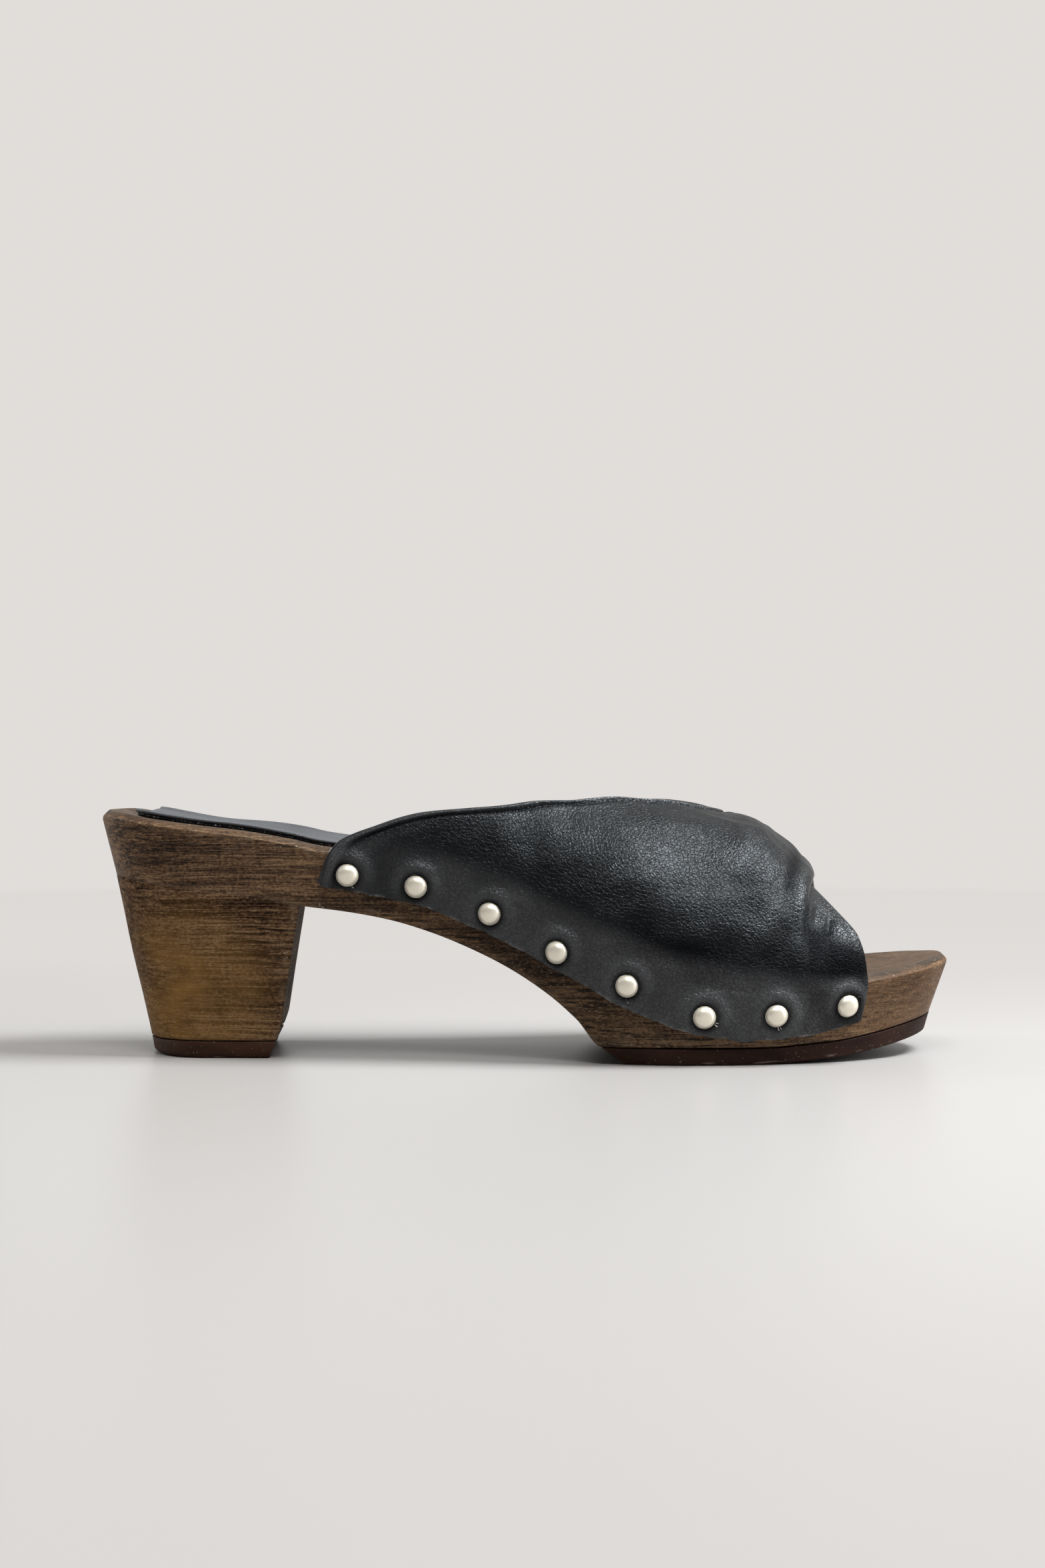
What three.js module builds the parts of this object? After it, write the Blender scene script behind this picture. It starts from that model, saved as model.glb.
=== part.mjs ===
// A heeled wooden clog mule for the right foot: a carved wooden board on a stacked wooden block heel,
// rubber under the forefoot and the heel, a leather sock on the footbed, and a black leather upper that
// is twisted into a knot over the toes and nailed to the sides of the board with domed studs.
//
// Millimetres. While it is being shaped, X runs from the back of the heel to the toe, Y to the wearer's
// left, which is the inner (medial) side of a right shoe, and Z up from the floor.
import * as THREE from 'three';

// Board
const LENGTH = 250.7; // back of the heel to the tip of the toe, along the board's top edge
const HEEL_WIDTH = 60;
const BALL_WIDTH = 90;
const SEAT_HEIGHT = 71.3; // floor to the board's top at the back of the heel
const FOREFOOT_HEIGHT = 22.7; // floor to the board's top under the ball
const TOE_RISE = 6.1; // how much higher the board's top is at the tip than under the ball
const SEAT_THICKNESS = 18.7; // board over the heel block
const TOE_SPRING = 7.6; // how high the underside curves up at the tip
const BEVEL = 1.9; // chamfer round the board's top edge
const DISH = 2.6; // hollow of the footbed across its middle
const DIP = 1.6; // its inner edge dips by this much ...
const DIP_PLACE = 37; // ... this far from the back of the heel ...
const DIP_LENGTH = 19; // ... fading out over this length either way
const BACK_RAKE = 4.1; // how far the board's underside stands in from its top edge, at the back
const TOE_RAKE = 5.2; // the same at the tip
const SIDE_RAKE = 1.8; // and along the sides
const TIP_OFFSET = 6.0; // the tip lies this far to the inner side of the heel's middle
const HEEL_ROUND = 31; // length of the round back of the outline

// Heel block and rubber
const HEEL_BREAST = 60.0; // back of the heel to the block's front face, at the board
const BASE_BACK = 14.4; // the same measured at the block's foot: its back ...
const BASE_FRONT = 53.9; // ... and its front
const BASE_WIDTH = 50;
const BREAST_SKEW = 1.5; // its inner corner stands back by this much
const BREAST_HOLLOW = 1.2; // the same face is slightly hollow across
const BREAST_CHAMFER = 3.8; // height of the cut along the foot of that face
const LIFT_THICKNESS = 4.9;
const LIFT_BACK_BEVEL = 2.2;
const LIFT_FRONT_RAKE = 2.6;
const OUTSOLE_THICKNESS = 4.7;
const OUTSOLE_START = 147.0; // back of the heel to the rubber's rear edge, at the board
const OUTSOLE_START_RAKE = 6.6; // the rubber's rear edge slopes forward by this much

// Sock
const SOCK_THICKNESS = 1.6;
const SOCK_BACK = 13.4; // bare wood behind the sock
const SOCK_SKEW = 1.4; // its rear end is cut a little askew, by this much either way
const SOCK_LENGTH = 166.6; // the sock ends under the vamp
const SOCK_INSET = 4.6; // bare wood beside it
const SOCK_CORNER = 5; // length of its rounded corners

// Upper
const WALL = 2.0; // leather and lining together
const SKIRT = 13.5; // how far the leather comes down the side of the board, at the ball
const RIDGE_OFFSET = 3.0; // the crest of the instep lies this far to the inner side
const INSTEP_HEIGHT = 75.0; // floor to the crest of the instep, under the front of the collar
const KNOT_HEIGHT = 4.6; // how far the crossing layer stands proud of the one under it
const FOLD_WIDTH = 0.9; // the crossing layer falls away over this length

// Studs
const STUD_DIAMETER = 6.8;
const STUD_HEIGHT = 2.1;
const STUD_SIDES = 12;

const GAP = 0.3; // between a piece and the one it is fixed to
const SKIRT_GAP = 0.4; // between the leather and the side of the board

const WOOD = new THREE.MeshStandardMaterial({ color: 0x5b4330, roughness: 0.6, metalness: 0 });
const RUBBER = new THREE.MeshStandardMaterial({ color: 0x2c1d18, roughness: 0.75, metalness: 0 });
const LEATHER = new THREE.MeshStandardMaterial({ color: 0x17181b, roughness: 0.42, metalness: 0 });
const SOCK_LEATHER = new THREE.MeshStandardMaterial({ color: 0x2a2c30, roughness: 0.5, metalness: 0 });
const NICKEL = new THREE.MeshStandardMaterial({ color: 0xc9c2b2, roughness: 0.28, metalness: 1 });

// Board's top edge. at: share of LENGTH. rise: share of the drop from seat to ball. spring: share of TOE_RISE.
const TOP_LINE = [
  { at: 0, rise: 1, spring: 0 },
  { at: 0.02, rise: 0.998, spring: 0 },
  { at: 0.059, rise: 0.971, spring: 0 },
  { at: 0.126, rise: 0.926, spring: 0 },
  { at: 0.177, rise: 0.895, spring: 0 },
  { at: 0.231, rise: 0.844, spring: 0 },
  { at: 0.26, rise: 0.809, spring: 0 },
  { at: 0.319, rise: 0.767, spring: 0 },
  { at: 0.375, rise: 0.724, spring: 0 },
  { at: 0.439, rise: 0.628, spring: 0 },
  { at: 0.499, rise: 0.498, spring: 0 },
  { at: 0.558, rise: 0.344, spring: 0 },
  { at: 0.614, rise: 0.204, spring: 0 },
  { at: 0.67, rise: 0.086, spring: 0 },
  { at: 0.718, rise: 0.025, spring: 0 },
  { at: 0.758, rise: 0.004, spring: 0 },
  { at: 0.798, rise: 0, spring: 0 },
  { at: 0.838, rise: 0, spring: 0.1 },
  { at: 0.878, rise: 0, spring: 0.28 },
  { at: 0.905, rise: 0, spring: 0.44 },
  { at: 0.937, rise: 0, spring: 0.62 },
  { at: 0.961, rise: 0, spring: 0.77 },
  { at: 1, rise: 0, spring: 1 },
];

// Board's underside. rise: share of its height over the outsole at the seat. spring: share of TOE_SPRING.
const UNDER_LINE = [
  { at: 0, rise: 1.0, spring: 0 },
  { at: 0.027, rise: 0.986, spring: 0 },
  { at: 0.092, rise: 0.943, spring: 0 },
  { at: 0.128, rise: 0.919, spring: 0 },
  { at: 0.175, rise: 0.887, spring: 0 },
  { at: 0.24, rise: 0.83, spring: 0 },
  { at: 0.299, rise: 0.788, spring: 0 },
  { at: 0.345, rise: 0.742, spring: 0 },
  { at: 0.389, rise: 0.673, spring: 0 },
  { at: 0.435, rise: 0.577, spring: 0 },
  { at: 0.48, rise: 0.46, spring: 0 },
  { at: 0.524, rise: 0.31, spring: 0 },
  { at: 0.557, rise: 0.162, spring: 0 },
  { at: 0.586, rise: 0, spring: 0 },
  { at: 0.7, rise: 0, spring: 0 },
  { at: 0.77, rise: 0, spring: 0 },
  { at: 0.814, rise: 0, spring: 0.08 },
  { at: 0.857, rise: 0, spring: 0.185 },
  { at: 0.903, rise: 0, spring: 0.41 },
  { at: 0.939, rise: 0, spring: 0.63 },
  { at: 0.973, rise: 0, spring: 0.84 },
  { at: 1, rise: 0, spring: 1 },
];

// Outline seen from above. lateral, medial: 0 is half of HEEL_WIDTH and 1 half of BALL_WIDTH.
const OUTLINE = [
  { at: 0, lateral: 0, medial: 0.03 },
  { at: 0.12, lateral: 0, medial: 0.03 },
  { at: 0.24, lateral: 0.05, medial: 0 },
  { at: 0.36, lateral: 0.13, medial: -0.1 },
  { at: 0.48, lateral: 0.4, medial: -0.04 },
  { at: 0.6, lateral: 0.89, medial: 0.5 },
  { at: 0.665, lateral: 1.07, medial: 0.82 },
  { at: 0.73, lateral: 1.07, medial: 0.94 },
  { at: 1, lateral: 1.07, medial: 0.94 },
];

// Round of the toe on each side: it starts at this share of LENGTH, with this superellipse exponent.
const TOE_ROUND = {
  lateral: { from: 0.665, power: 2.2 },
  medial: { from: 0.73, power: 2.3 },
};

// Crest of the instep. height: share of INSTEP_HEIGHT, over the floor.
const CREST = [
  { at: 0.24, height: 1.381 },
  { at: 0.34, height: 1.361 },
  { at: 0.4, height: 1.291 },
  { at: 0.46, height: 1.209 },
  { at: 0.51, height: 1.139 },
  { at: 0.556, height: 1.092 },
  { at: 0.597, height: 1.057 },
  { at: 0.634, height: 1.025 },
  { at: 0.662, height: 1.004 },
  { at: 0.691, height: 0.976 },
  { at: 0.719, height: 0.948 },
  { at: 0.738, height: 0.925 },
  { at: 0.757, height: 0.905 },
  { at: 0.767, height: 0.888 },
  { at: 0.785, height: 0.813 },
  { at: 0.805, height: 0.769 },
  { at: 0.824, height: 0.7 },
  { at: 0.834, height: 0.658 },
  { at: 0.845, height: 0.638 },
  { at: 0.87, height: 0.62 },
  { at: 0.9, height: 0.61 },
];

// Free edges of the upper. round: 0 at the crest, 1 at the board's top edge. The rest are shares of LENGTH.
const THROAT = [
  { round: 0, lateral: 0.724, medial: 0.724 },
  { round: 0.07, lateral: 0.7, medial: 0.704 },
  { round: 0.13, lateral: 0.668, medial: 0.682 },
  { round: 0.2, lateral: 0.635, medial: 0.656 },
  { round: 0.284, lateral: 0.594, medial: 0.624 },
  { round: 0.388, lateral: 0.557, medial: 0.592 },
  { round: 0.496, lateral: 0.511, medial: 0.556 },
  { round: 0.608, lateral: 0.474, medial: 0.518 },
  { round: 0.708, lateral: 0.431, medial: 0.476 },
  { round: 0.778, lateral: 0.392, medial: 0.434 },
  { round: 0.831, lateral: 0.363, medial: 0.4 },
  { round: 0.88, lateral: 0.334, medial: 0.368 },
  { round: 0.927, lateral: 0.305, medial: 0.337 },
  { round: 0.957, lateral: 0.29, medial: 0.322 },
  { round: 0.979, lateral: 0.284, medial: 0.314 },
  { round: 1, lateral: 0.278, medial: 0.308 },
];
const TOE_EDGE = [
  { round: 0, lateral: 0.829, medial: 0.83 },
  { round: 0.1, lateral: 0.833, medial: 0.834 },
  { round: 0.26, lateral: 0.8435, medial: 0.842 },
  { round: 0.483, lateral: 0.8615, medial: 0.858 },
  { round: 0.64, lateral: 0.8745, medial: 0.868 },
  { round: 0.793, lateral: 0.8815, medial: 0.876 },
  { round: 1, lateral: 0.8845, medial: 0.882 },
];
const SKIRT_BACK = { lateral: 0.262, medial: 0.29 }; // rear corner of the leather's lower edge
const SKIRT_TOE = { lateral: 0.887, medial: 0.884 }; // and its front corner

// Lower edge of the leather. drop: share of SKIRT, below the board's top edge.
const SKIRT_LINE = [
  { at: 0.262, drop: 0.69 },
  { at: 0.3, drop: 0.72 },
  { at: 0.345, drop: 0.766 },
  { at: 0.377, drop: 0.793 },
  { at: 0.413, drop: 0.864 },
  { at: 0.446, drop: 0.902 },
  { at: 0.48, drop: 0.93 },
  { at: 0.524, drop: 0.96 },
  { at: 0.582, drop: 0.98 },
  { at: 0.607, drop: 1.02 },
  { at: 0.639, drop: 1.0 },
  { at: 0.747, drop: 1.0 },
  { at: 0.802, drop: 0.937 },
  { at: 0.835, drop: 0.9 },
  { at: 0.867, drop: 0.825 },
  { at: 0.891, drop: 0.766 },
];

// One stud on each side for each row. drop: share of SKIRT, below the board's top edge.
const STUDS = [
  { at: 0.294, drop: 0.379 },
  { at: 0.374, drop: 0.406 },
  { at: 0.46, drop: 0.474 },
  { at: 0.5382, drop: 0.585 },
  { at: 0.6174, drop: 0.541 },
  { at: 0.7047, drop: 0.608 },
  { at: 0.7855, drop: 0.452 },
  { at: 0.8665, drop: 0.378 },
];

// The knot. One band of leather is twisted over the toes: its rear half comes up the outer side, crosses on
// top and goes down the inner side in front, so each side has one fold where the crossing layer ends.
// across: -1 at the board's outer top edge, 0 at the crest, 1 at the inner. front and rear: where the
// crossing layer ends, as shares of LENGTH. ahead and behind: shares of KNOT_HEIGHT that it stands proud
// at those two folds.
const KNOT = [
  { across: -1.2, rear: 0.72, front: 0.809, ahead: 0, behind: 0 },
  { across: -0.74, rear: 0.722, front: 0.809, ahead: 0, behind: 0 },
  { across: -0.55, rear: 0.724, front: 0.812, ahead: 0.42, behind: 0 },
  { across: -0.3, rear: 0.728, front: 0.815, ahead: 0.86, behind: 0 },
  { across: 0, rear: 0.738, front: 0.817, ahead: 1, behind: 0.22 },
  { across: 0.12, rear: 0.743, front: 0.823, ahead: 0.92, behind: 0.45 },
  { across: 0.3, rear: 0.75, front: 0.832, ahead: 0.62, behind: 0.72 },
  { across: 0.5, rear: 0.755, front: 0.847, ahead: 0.34, behind: 0.6 },
  { across: 0.74, rear: 0.76, front: 0.859, ahead: 0, behind: 0 },
  { across: 1.2, rear: 0.762, front: 0.869, ahead: 0, behind: 0 },
];

const SIDES = { lateral: -1, medial: 1 };
const ARCH_POWER = 2.3; // superellipse exponent of the instep's cross-section

// Curve through one column of a table against another, smooth and without overshoot.
function through(table, key, value) {
  const x = table.map((row) => row[key]);
  const y = table.map((row) => row[value]);
  const last = x.length - 1;
  const slope = (i) => (y[i + 1] - y[i]) / (x[i + 1] - x[i]);
  const tangents = x.map((_, i) => {
    if (i === 0) return slope(0);
    if (i === last) return slope(last - 1);
    const before = slope(i - 1);
    const after = slope(i);
    return before * after <= 0 ? 0 : (2 * before * after) / (before + after);
  });
  return (at) => {
    const inside = Math.min(Math.max(at, x[0]), x[last]);
    let i = 0;
    while (i < last - 1 && inside > x[i + 1]) i += 1;
    const span = x[i + 1] - x[i];
    const t = (inside - x[i]) / span;
    const rest = 1 - t;
    return (1 + 2 * t) * rest * rest * y[i] + t * rest * rest * span * tangents[i]
      + t * t * (3 - 2 * t) * y[i + 1] - t * t * rest * span * tangents[i + 1];
  };
}

const mix = (a, b, t) => a + (b - a) * t;
const smooth = (t) => {
  const inside = Math.min(Math.max(t, 0), 1);
  return inside * inside * (3 - 2 * inside);
};
const steps = (count) => Array.from({ length: count + 1 }, (_, i) => i / count);
const roundEnds = (t) => (1 - Math.cos(Math.PI * t)) / 2;

const topRise = through(TOP_LINE, 'at', 'rise');
const topSpring = through(TOP_LINE, 'at', 'spring');
const underRise = through(UNDER_LINE, 'at', 'rise');
const underSpring = through(UNDER_LINE, 'at', 'spring');
const spread = { lateral: through(OUTLINE, 'at', 'lateral'), medial: through(OUTLINE, 'at', 'medial') };

const topHeight = (x) => FOREFOOT_HEIGHT + (SEAT_HEIGHT - FOREFOOT_HEIGHT) * topRise(x / LENGTH)
  + TOE_RISE * topSpring(x / LENGTH);
const edgeHeight = (x) => topHeight(x) - BEVEL;
const springHeight = (x) => TOE_SPRING * underSpring(x / LENGTH);
const underHeight = (x) => OUTSOLE_THICKNESS + GAP
  + (SEAT_HEIGHT - SEAT_THICKNESS - OUTSOLE_THICKNESS - GAP) * underRise(x / LENGTH) + springHeight(x);

// Outline of the board's top edge: the y of one side at a share of its length, round at both ends.
function outlineY(side, share) {
  const sign = SIDES[side];
  const { from, power } = TOE_ROUND[side];
  const half = mix(HEEL_WIDTH / 2, BALL_WIDTH / 2, spread[side](share));
  if (share > from) {
    const t = Math.min((share - from) / (1 - from), 1);
    return TIP_OFFSET + (sign * half - TIP_OFFSET) * (1 - t ** power) ** (1 / power);
  }
  const back = Math.min((share * LENGTH) / HEEL_ROUND, 1);
  return sign * half * (1 - (1 - back) ** 2.4) ** (1 / 2.4);
}

// Point on the board's side wall. depth is 0 at the top edge and 1 at the underside.
function wallPoint(side, share, depth) {
  const x = share * LENGTH;
  const y = outlineY(side, share);
  const underX = mix(BACK_RAKE, LENGTH - TOE_RAKE, share);
  const middle = TIP_OFFSET * smooth((share - 0.6) / 0.4);
  const reach = Math.abs(y - middle);
  const underY = middle + (y - middle) * (reach > SIDE_RAKE ? (reach - SIDE_RAKE) / reach : 0);
  return new THREE.Vector3(
    mix(x, underX, depth),
    mix(y, underY, depth),
    mix(edgeHeight(x), underHeight(underX), depth),
  );
}

// Footbed: the board's top, hollowed across its middle and lower along the inner edge of the heel.
// across runs from -1 to 1 between its edges.
const dip = (share, across) => DIP * smooth(across) * Math.exp(-(((share * LENGTH - DIP_PLACE) / DIP_LENGTH) ** 2));
const dish = (share, across) => DISH * Math.sin(Math.PI * Math.min(share * 5, 0.5))
  * Math.sin(Math.PI * Math.min((1 - share) * 5, 0.5)) * (1 - across * across) + dip(share, across);

// Solid from points and triangles, with shared corners merged and empty triangles left out.
function solid(points, triangles) {
  const seen = new Map();
  const position = [];
  const corner = points.map((p) => {
    const key = [p.x, p.y, p.z].map((v) => Math.round(v * 1e4)).join();
    if (!seen.has(key)) {
      seen.set(key, seen.size);
      position.push(p.x, p.y, p.z);
    }
    return seen.get(key);
  });
  const index = [];
  for (const [a, b, c] of triangles) {
    const [i, j, k] = [corner[a], corner[b], corner[c]];
    if (i !== j && j !== k && k !== i) index.push(i, j, k);
  }
  const geometry = new THREE.BufferGeometry();
  geometry.setAttribute('position', new THREE.Float32BufferAttribute(position, 3));
  geometry.setIndex(index);
  geometry.computeVertexNormals();
  return geometry;
}

// Solid through a row of rings with the same number of points. flat gives the plane that each end is
// closed in, and a ring that has shrunk to a line needs no end.
function loft(rings, flat) {
  const count = rings[0].length;
  const triangles = [];
  for (let r = 0; r + 1 < rings.length; r += 1) {
    for (let i = 0; i < count; i += 1) {
      const j = (i + 1) % count;
      const [a, b, c, d] = [r * count + i, r * count + j, (r + 1) * count + j, (r + 1) * count + i];
      triangles.push([a, b, c], [a, c, d]);
    }
  }
  for (const r of [0, rings.length - 1]) {
    const outline = rings[r].map((p) => new THREE.Vector2(...flat(p)));
    const area = THREE.ShapeUtils.area(outline);
    if (Math.abs(area) < 1e-3) continue;
    for (const [a, b, c] of THREE.ShapeUtils.triangulateShape(outline, [])) {
      const turned = (area > 0) === (r === 0);
      triangles.push(turned ? [r * count + a, r * count + c, r * count + b]
        : [r * count + a, r * count + b, r * count + c]);
    }
  }
  return solid(rings.flat(), triangles);
}

// The same solid with its faces turned out, whichever way its rings run.
function outward(geometry) {
  const { array } = geometry.attributes.position;
  const index = geometry.getIndex().array;
  const p = (i) => new THREE.Vector3().fromArray(array, 3 * i);
  let volume = 0;
  for (let i = 0; i < index.length; i += 3) {
    volume += p(index[i]).dot(p(index[i + 1]).cross(p(index[i + 2])));
  }
  if (volume < 0) {
    for (let i = 0; i < index.length; i += 3) [index[i], index[i + 1]] = [index[i + 1], index[i]];
  }
  geometry.computeVertexNormals();
  return geometry;
}

const FROM_ABOVE = (p) => [p.x, p.y];
const FROM_THE_FRONT = (p) => [p.y, p.z];

// Wooden board, a ring across it at each station.
function board() {
  const ring = (share) => {
    const insetX = mix(BEVEL, LENGTH - BEVEL, share);
    const half = (side) => {
      const y = outlineY(side, share);
      const middle = TIP_OFFSET * smooth((share - 0.6) / 0.4);
      const reach = Math.abs(y - middle);
      return middle + (y - middle) * (reach > BEVEL ? (reach - BEVEL) / reach : 0);
    };
    const [left, right] = [half('lateral'), half('medial')];
    const top = [-1, -0.5, 0, 0.5, 1].map((across) => new THREE.Vector3(
      insetX,
      mix(left, right, (across + 1) / 2),
      topHeight(insetX) - dish(share, across) * Math.min((right - left) / HEEL_WIDTH, 1),
    ));
    return [wallPoint('lateral', share, 1), wallPoint('lateral', share, 0), ...top,
      wallPoint('medial', share, 0), wallPoint('medial', share, 1)];
  };
  const shares = steps(44).map((t) => mix(t, roundEnds(t), 0.55));
  return outward(loft(shares.map(ring), FROM_THE_FRONT));
}

// Height of the footbed at a place, for what lies on it.
function footbedHeight(x, y) {
  const share = (x - BEVEL) / (LENGTH - 2 * BEVEL);
  const [left, right] = [outlineY('lateral', share) + BEVEL, outlineY('medial', share) - BEVEL];
  const across = Math.min(Math.max((2 * (y - left)) / (right - left) - 1, -1), 1);
  return topHeight(x) - dish(share, across) * Math.min((right - left) / HEEL_WIDTH, 1);
}

// Loop round the heel at one level, from the front corner of the outer side round the back.
// depth 0 is under the board and 1 at the block's foot. The front face is hollow across.
function heelLoop(depth, height, backInset, frontInset) {
  const joint = HEEL_BREAST / LENGTH;
  const around = steps(12).map((t) => Math.sin((t * Math.PI) / 2) ** 1.4 * joint);
  const back = mix(BACK_RAKE, BASE_BACK, depth) + backInset;
  const front = mix(HEEL_BREAST, BASE_FRONT, depth) - frontInset;
  const narrow = mix(1, BASE_WIDTH / (HEEL_WIDTH - 2 * SIDE_RAKE), depth);
  const place = (side, share) => {
    const p = wallPoint(side, share, 1);
    const along = (p.x - BACK_RAKE) / (wallPoint(side, joint, 1).x - BACK_RAKE);
    const skew = side === 'medial' ? BREAST_SKEW * along ** 4 : 0;
    return new THREE.Vector3(mix(back, front, along) - skew, p.y * narrow - Math.sign(p.y) * backInset * 0.5, 0);
  };
  const outer = [...around].reverse().map((share) => place('lateral', share));
  const inner = around.slice(1).map((share) => place('medial', share));
  const [from, to] = [inner[inner.length - 1], outer[0]];
  const face = [0.25, 0.5, 0.75].map((t) => new THREE.Vector3(
    mix(from.x, to.x, t) - BREAST_HOLLOW * Math.sin(Math.PI * t),
    mix(from.y, to.y, t),
    0,
  ));
  return [...outer, ...inner, ...face].map((p) => new THREE.Vector3(p.x, p.y, height(p.x)));
}

function heelBlock() {
  const foot = LIFT_THICKNESS + GAP;
  const underBoard = (x) => underHeight(x) - GAP;
  const cut = BREAST_CHAMFER / (SEAT_HEIGHT - SEAT_THICKNESS - foot);
  return outward(loft([
    heelLoop(0, underBoard, 0, 0),
    heelLoop(0.5, (x) => mix(underBoard(x), foot, 0.5), 0, 0),
    heelLoop(1 - cut, () => foot + BREAST_CHAMFER, 0, 0),
    heelLoop(1, () => foot, 0, 0.8),
  ], FROM_ABOVE));
}

function heelLift() {
  const top = LIFT_THICKNESS;
  const step = LIFT_BACK_BEVEL / 2;
  return outward(loft([
    heelLoop(1, () => top, 0.1, 0.9),
    heelLoop(1, () => step, 0.7, LIFT_FRONT_RAKE),
    heelLoop(1, () => 0, LIFT_BACK_BEVEL, LIFT_FRONT_RAKE + 0.3),
  ], FROM_ABOVE));
}

// Rubber under the forefoot, in rings across it. Its rear edge slopes and its toe follows the board's.
function outsole() {
  const start = (OUTSOLE_START - BACK_RAKE) / (LENGTH - TOE_RAKE - BACK_RAKE);
  const ring = (t) => {
    const share = mix(start, 1, t);
    const outer = wallPoint('lateral', share, 1);
    const inner = wallPoint('medial', share, 1);
    const rake = OUTSOLE_START_RAKE * (1 - t) ** 3 - 1.4 * t ** 6;
    const lip = Math.min(0.5, (inner.y - outer.y) / 4);
    const low = (p, sign) => new THREE.Vector3(p.x + rake, p.y - sign * lip, springHeight(p.x + rake));
    const high = (p) => new THREE.Vector3(p.x, p.y, springHeight(p.x) + OUTSOLE_THICKNESS);
    return [low(outer, -1), high(outer), high(inner), low(inner, 1)];
  };
  const shares = steps(22).map((t) => Math.sin((t * Math.PI) / 2) ** 1.05);
  return outward(loft(shares.map(ring), FROM_THE_FRONT));
}

// Leather sock on the footbed, in rings across it, square-cornered at the back and under the vamp.
function sock() {
  const ring = (t) => {
    const x = SOCK_BACK + SOCK_LENGTH * t;
    const ends = Math.min(t * SOCK_LENGTH / SOCK_CORNER, ((1 - t) * SOCK_LENGTH) / SOCK_CORNER, 1);
    const cap = mix(0.9, 1, (1 - (1 - ends) ** 3) ** (1 / 3));
    const [left, right] = ['lateral', 'medial'].map((side) => {
      const y = outlineY(side, x / LENGTH) - SIDES[side] * SOCK_INSET;
      return y * cap;
    });
    const at = (across, lift) => {
      const y = mix(left, right, across);
      const askew = x + SOCK_SKEW * (2 * across - 1) * (1 - t);
      return new THREE.Vector3(askew, y, footbedHeight(askew, y) + GAP + lift);
    };
    return [...[0, 0.25, 0.5, 0.75, 1].map((across) => at(across, 0)),
      ...[1, 0.75, 0.5, 0.25, 0].map((across) => at(across, SOCK_THICKNESS))];
  };
  const along = steps(30).map((t) => mix(t, roundEnds(t), 0.6));
  return outward(loft(along.map(ring), FROM_THE_FRONT));
}

const crest = through(CREST, 'at', 'height');
const throat = { lateral: through(THROAT, 'round', 'lateral'), medial: through(THROAT, 'round', 'medial') };
const toeEdge = { lateral: through(TOE_EDGE, 'round', 'lateral'), medial: through(TOE_EDGE, 'round', 'medial') };
const skirtDrop = through(SKIRT_LINE, 'at', 'drop');
const knot = Object.fromEntries(['rear', 'front', 'ahead', 'behind'].map((k) => [k, through(KNOT, 'across', k)]));

// Outer surface of the leather against the side of the board, drop below its top edge.
function skirtPoint(side, share, drop, away) {
  const depthOf = wallPoint(side, share, 1);
  const topOf = wallPoint(side, share, 0);
  const depth = drop / (topOf.z - depthOf.z);
  const p = wallPoint(side, share, depth);
  const along = wallPoint(side, Math.min(share + 0.004, 1), depth).sub(wallPoint(side, share - 0.004, depth));
  const down = depthOf.sub(topOf);
  const out = along.cross(down).normalize().multiplyScalar(SIDES[side]);
  return { point: p.addScaledVector(out, away), out };
}

// Outer surface of the last under the leather's crossing layer. across: -1 to 1 between the board's edges.
function instepPoint(across, share) {
  const side = across < 0 ? 'lateral' : 'medial';
  const foot = skirtPoint(side, share, 0, SKIRT_GAP + WALL).point;
  const top = INSTEP_HEIGHT * crest(share);
  const angle = Math.min(Math.abs(across), 1) * (Math.PI / 2);
  const power = 2 / ARCH_POWER;
  const level = Math.cos(angle) ** power;
  return new THREE.Vector3(
    mix(foot.x, share * LENGTH, level),
    RIDGE_OFFSET + (foot.y - RIDGE_OFFSET) * Math.sin(angle) ** power,
    mix(foot.z, top, level),
  );
}

// How far the leather stands proud of that surface where it crosses in the knot.
function knotLift(across, share) {
  const width = FOLD_WIDTH / LENGTH;
  const front = knot.front(across);
  const rear = knot.rear(across);
  const ahead = smooth((front - share) / width) * smooth(1 - (front - share) / 0.13) * knot.ahead(across);
  const behind = smooth((share - rear) / width) * smooth(1 - (share - rear) / 0.16) * knot.behind(across);
  return KNOT_HEIGHT * Math.max(ahead, behind);
}

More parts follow.
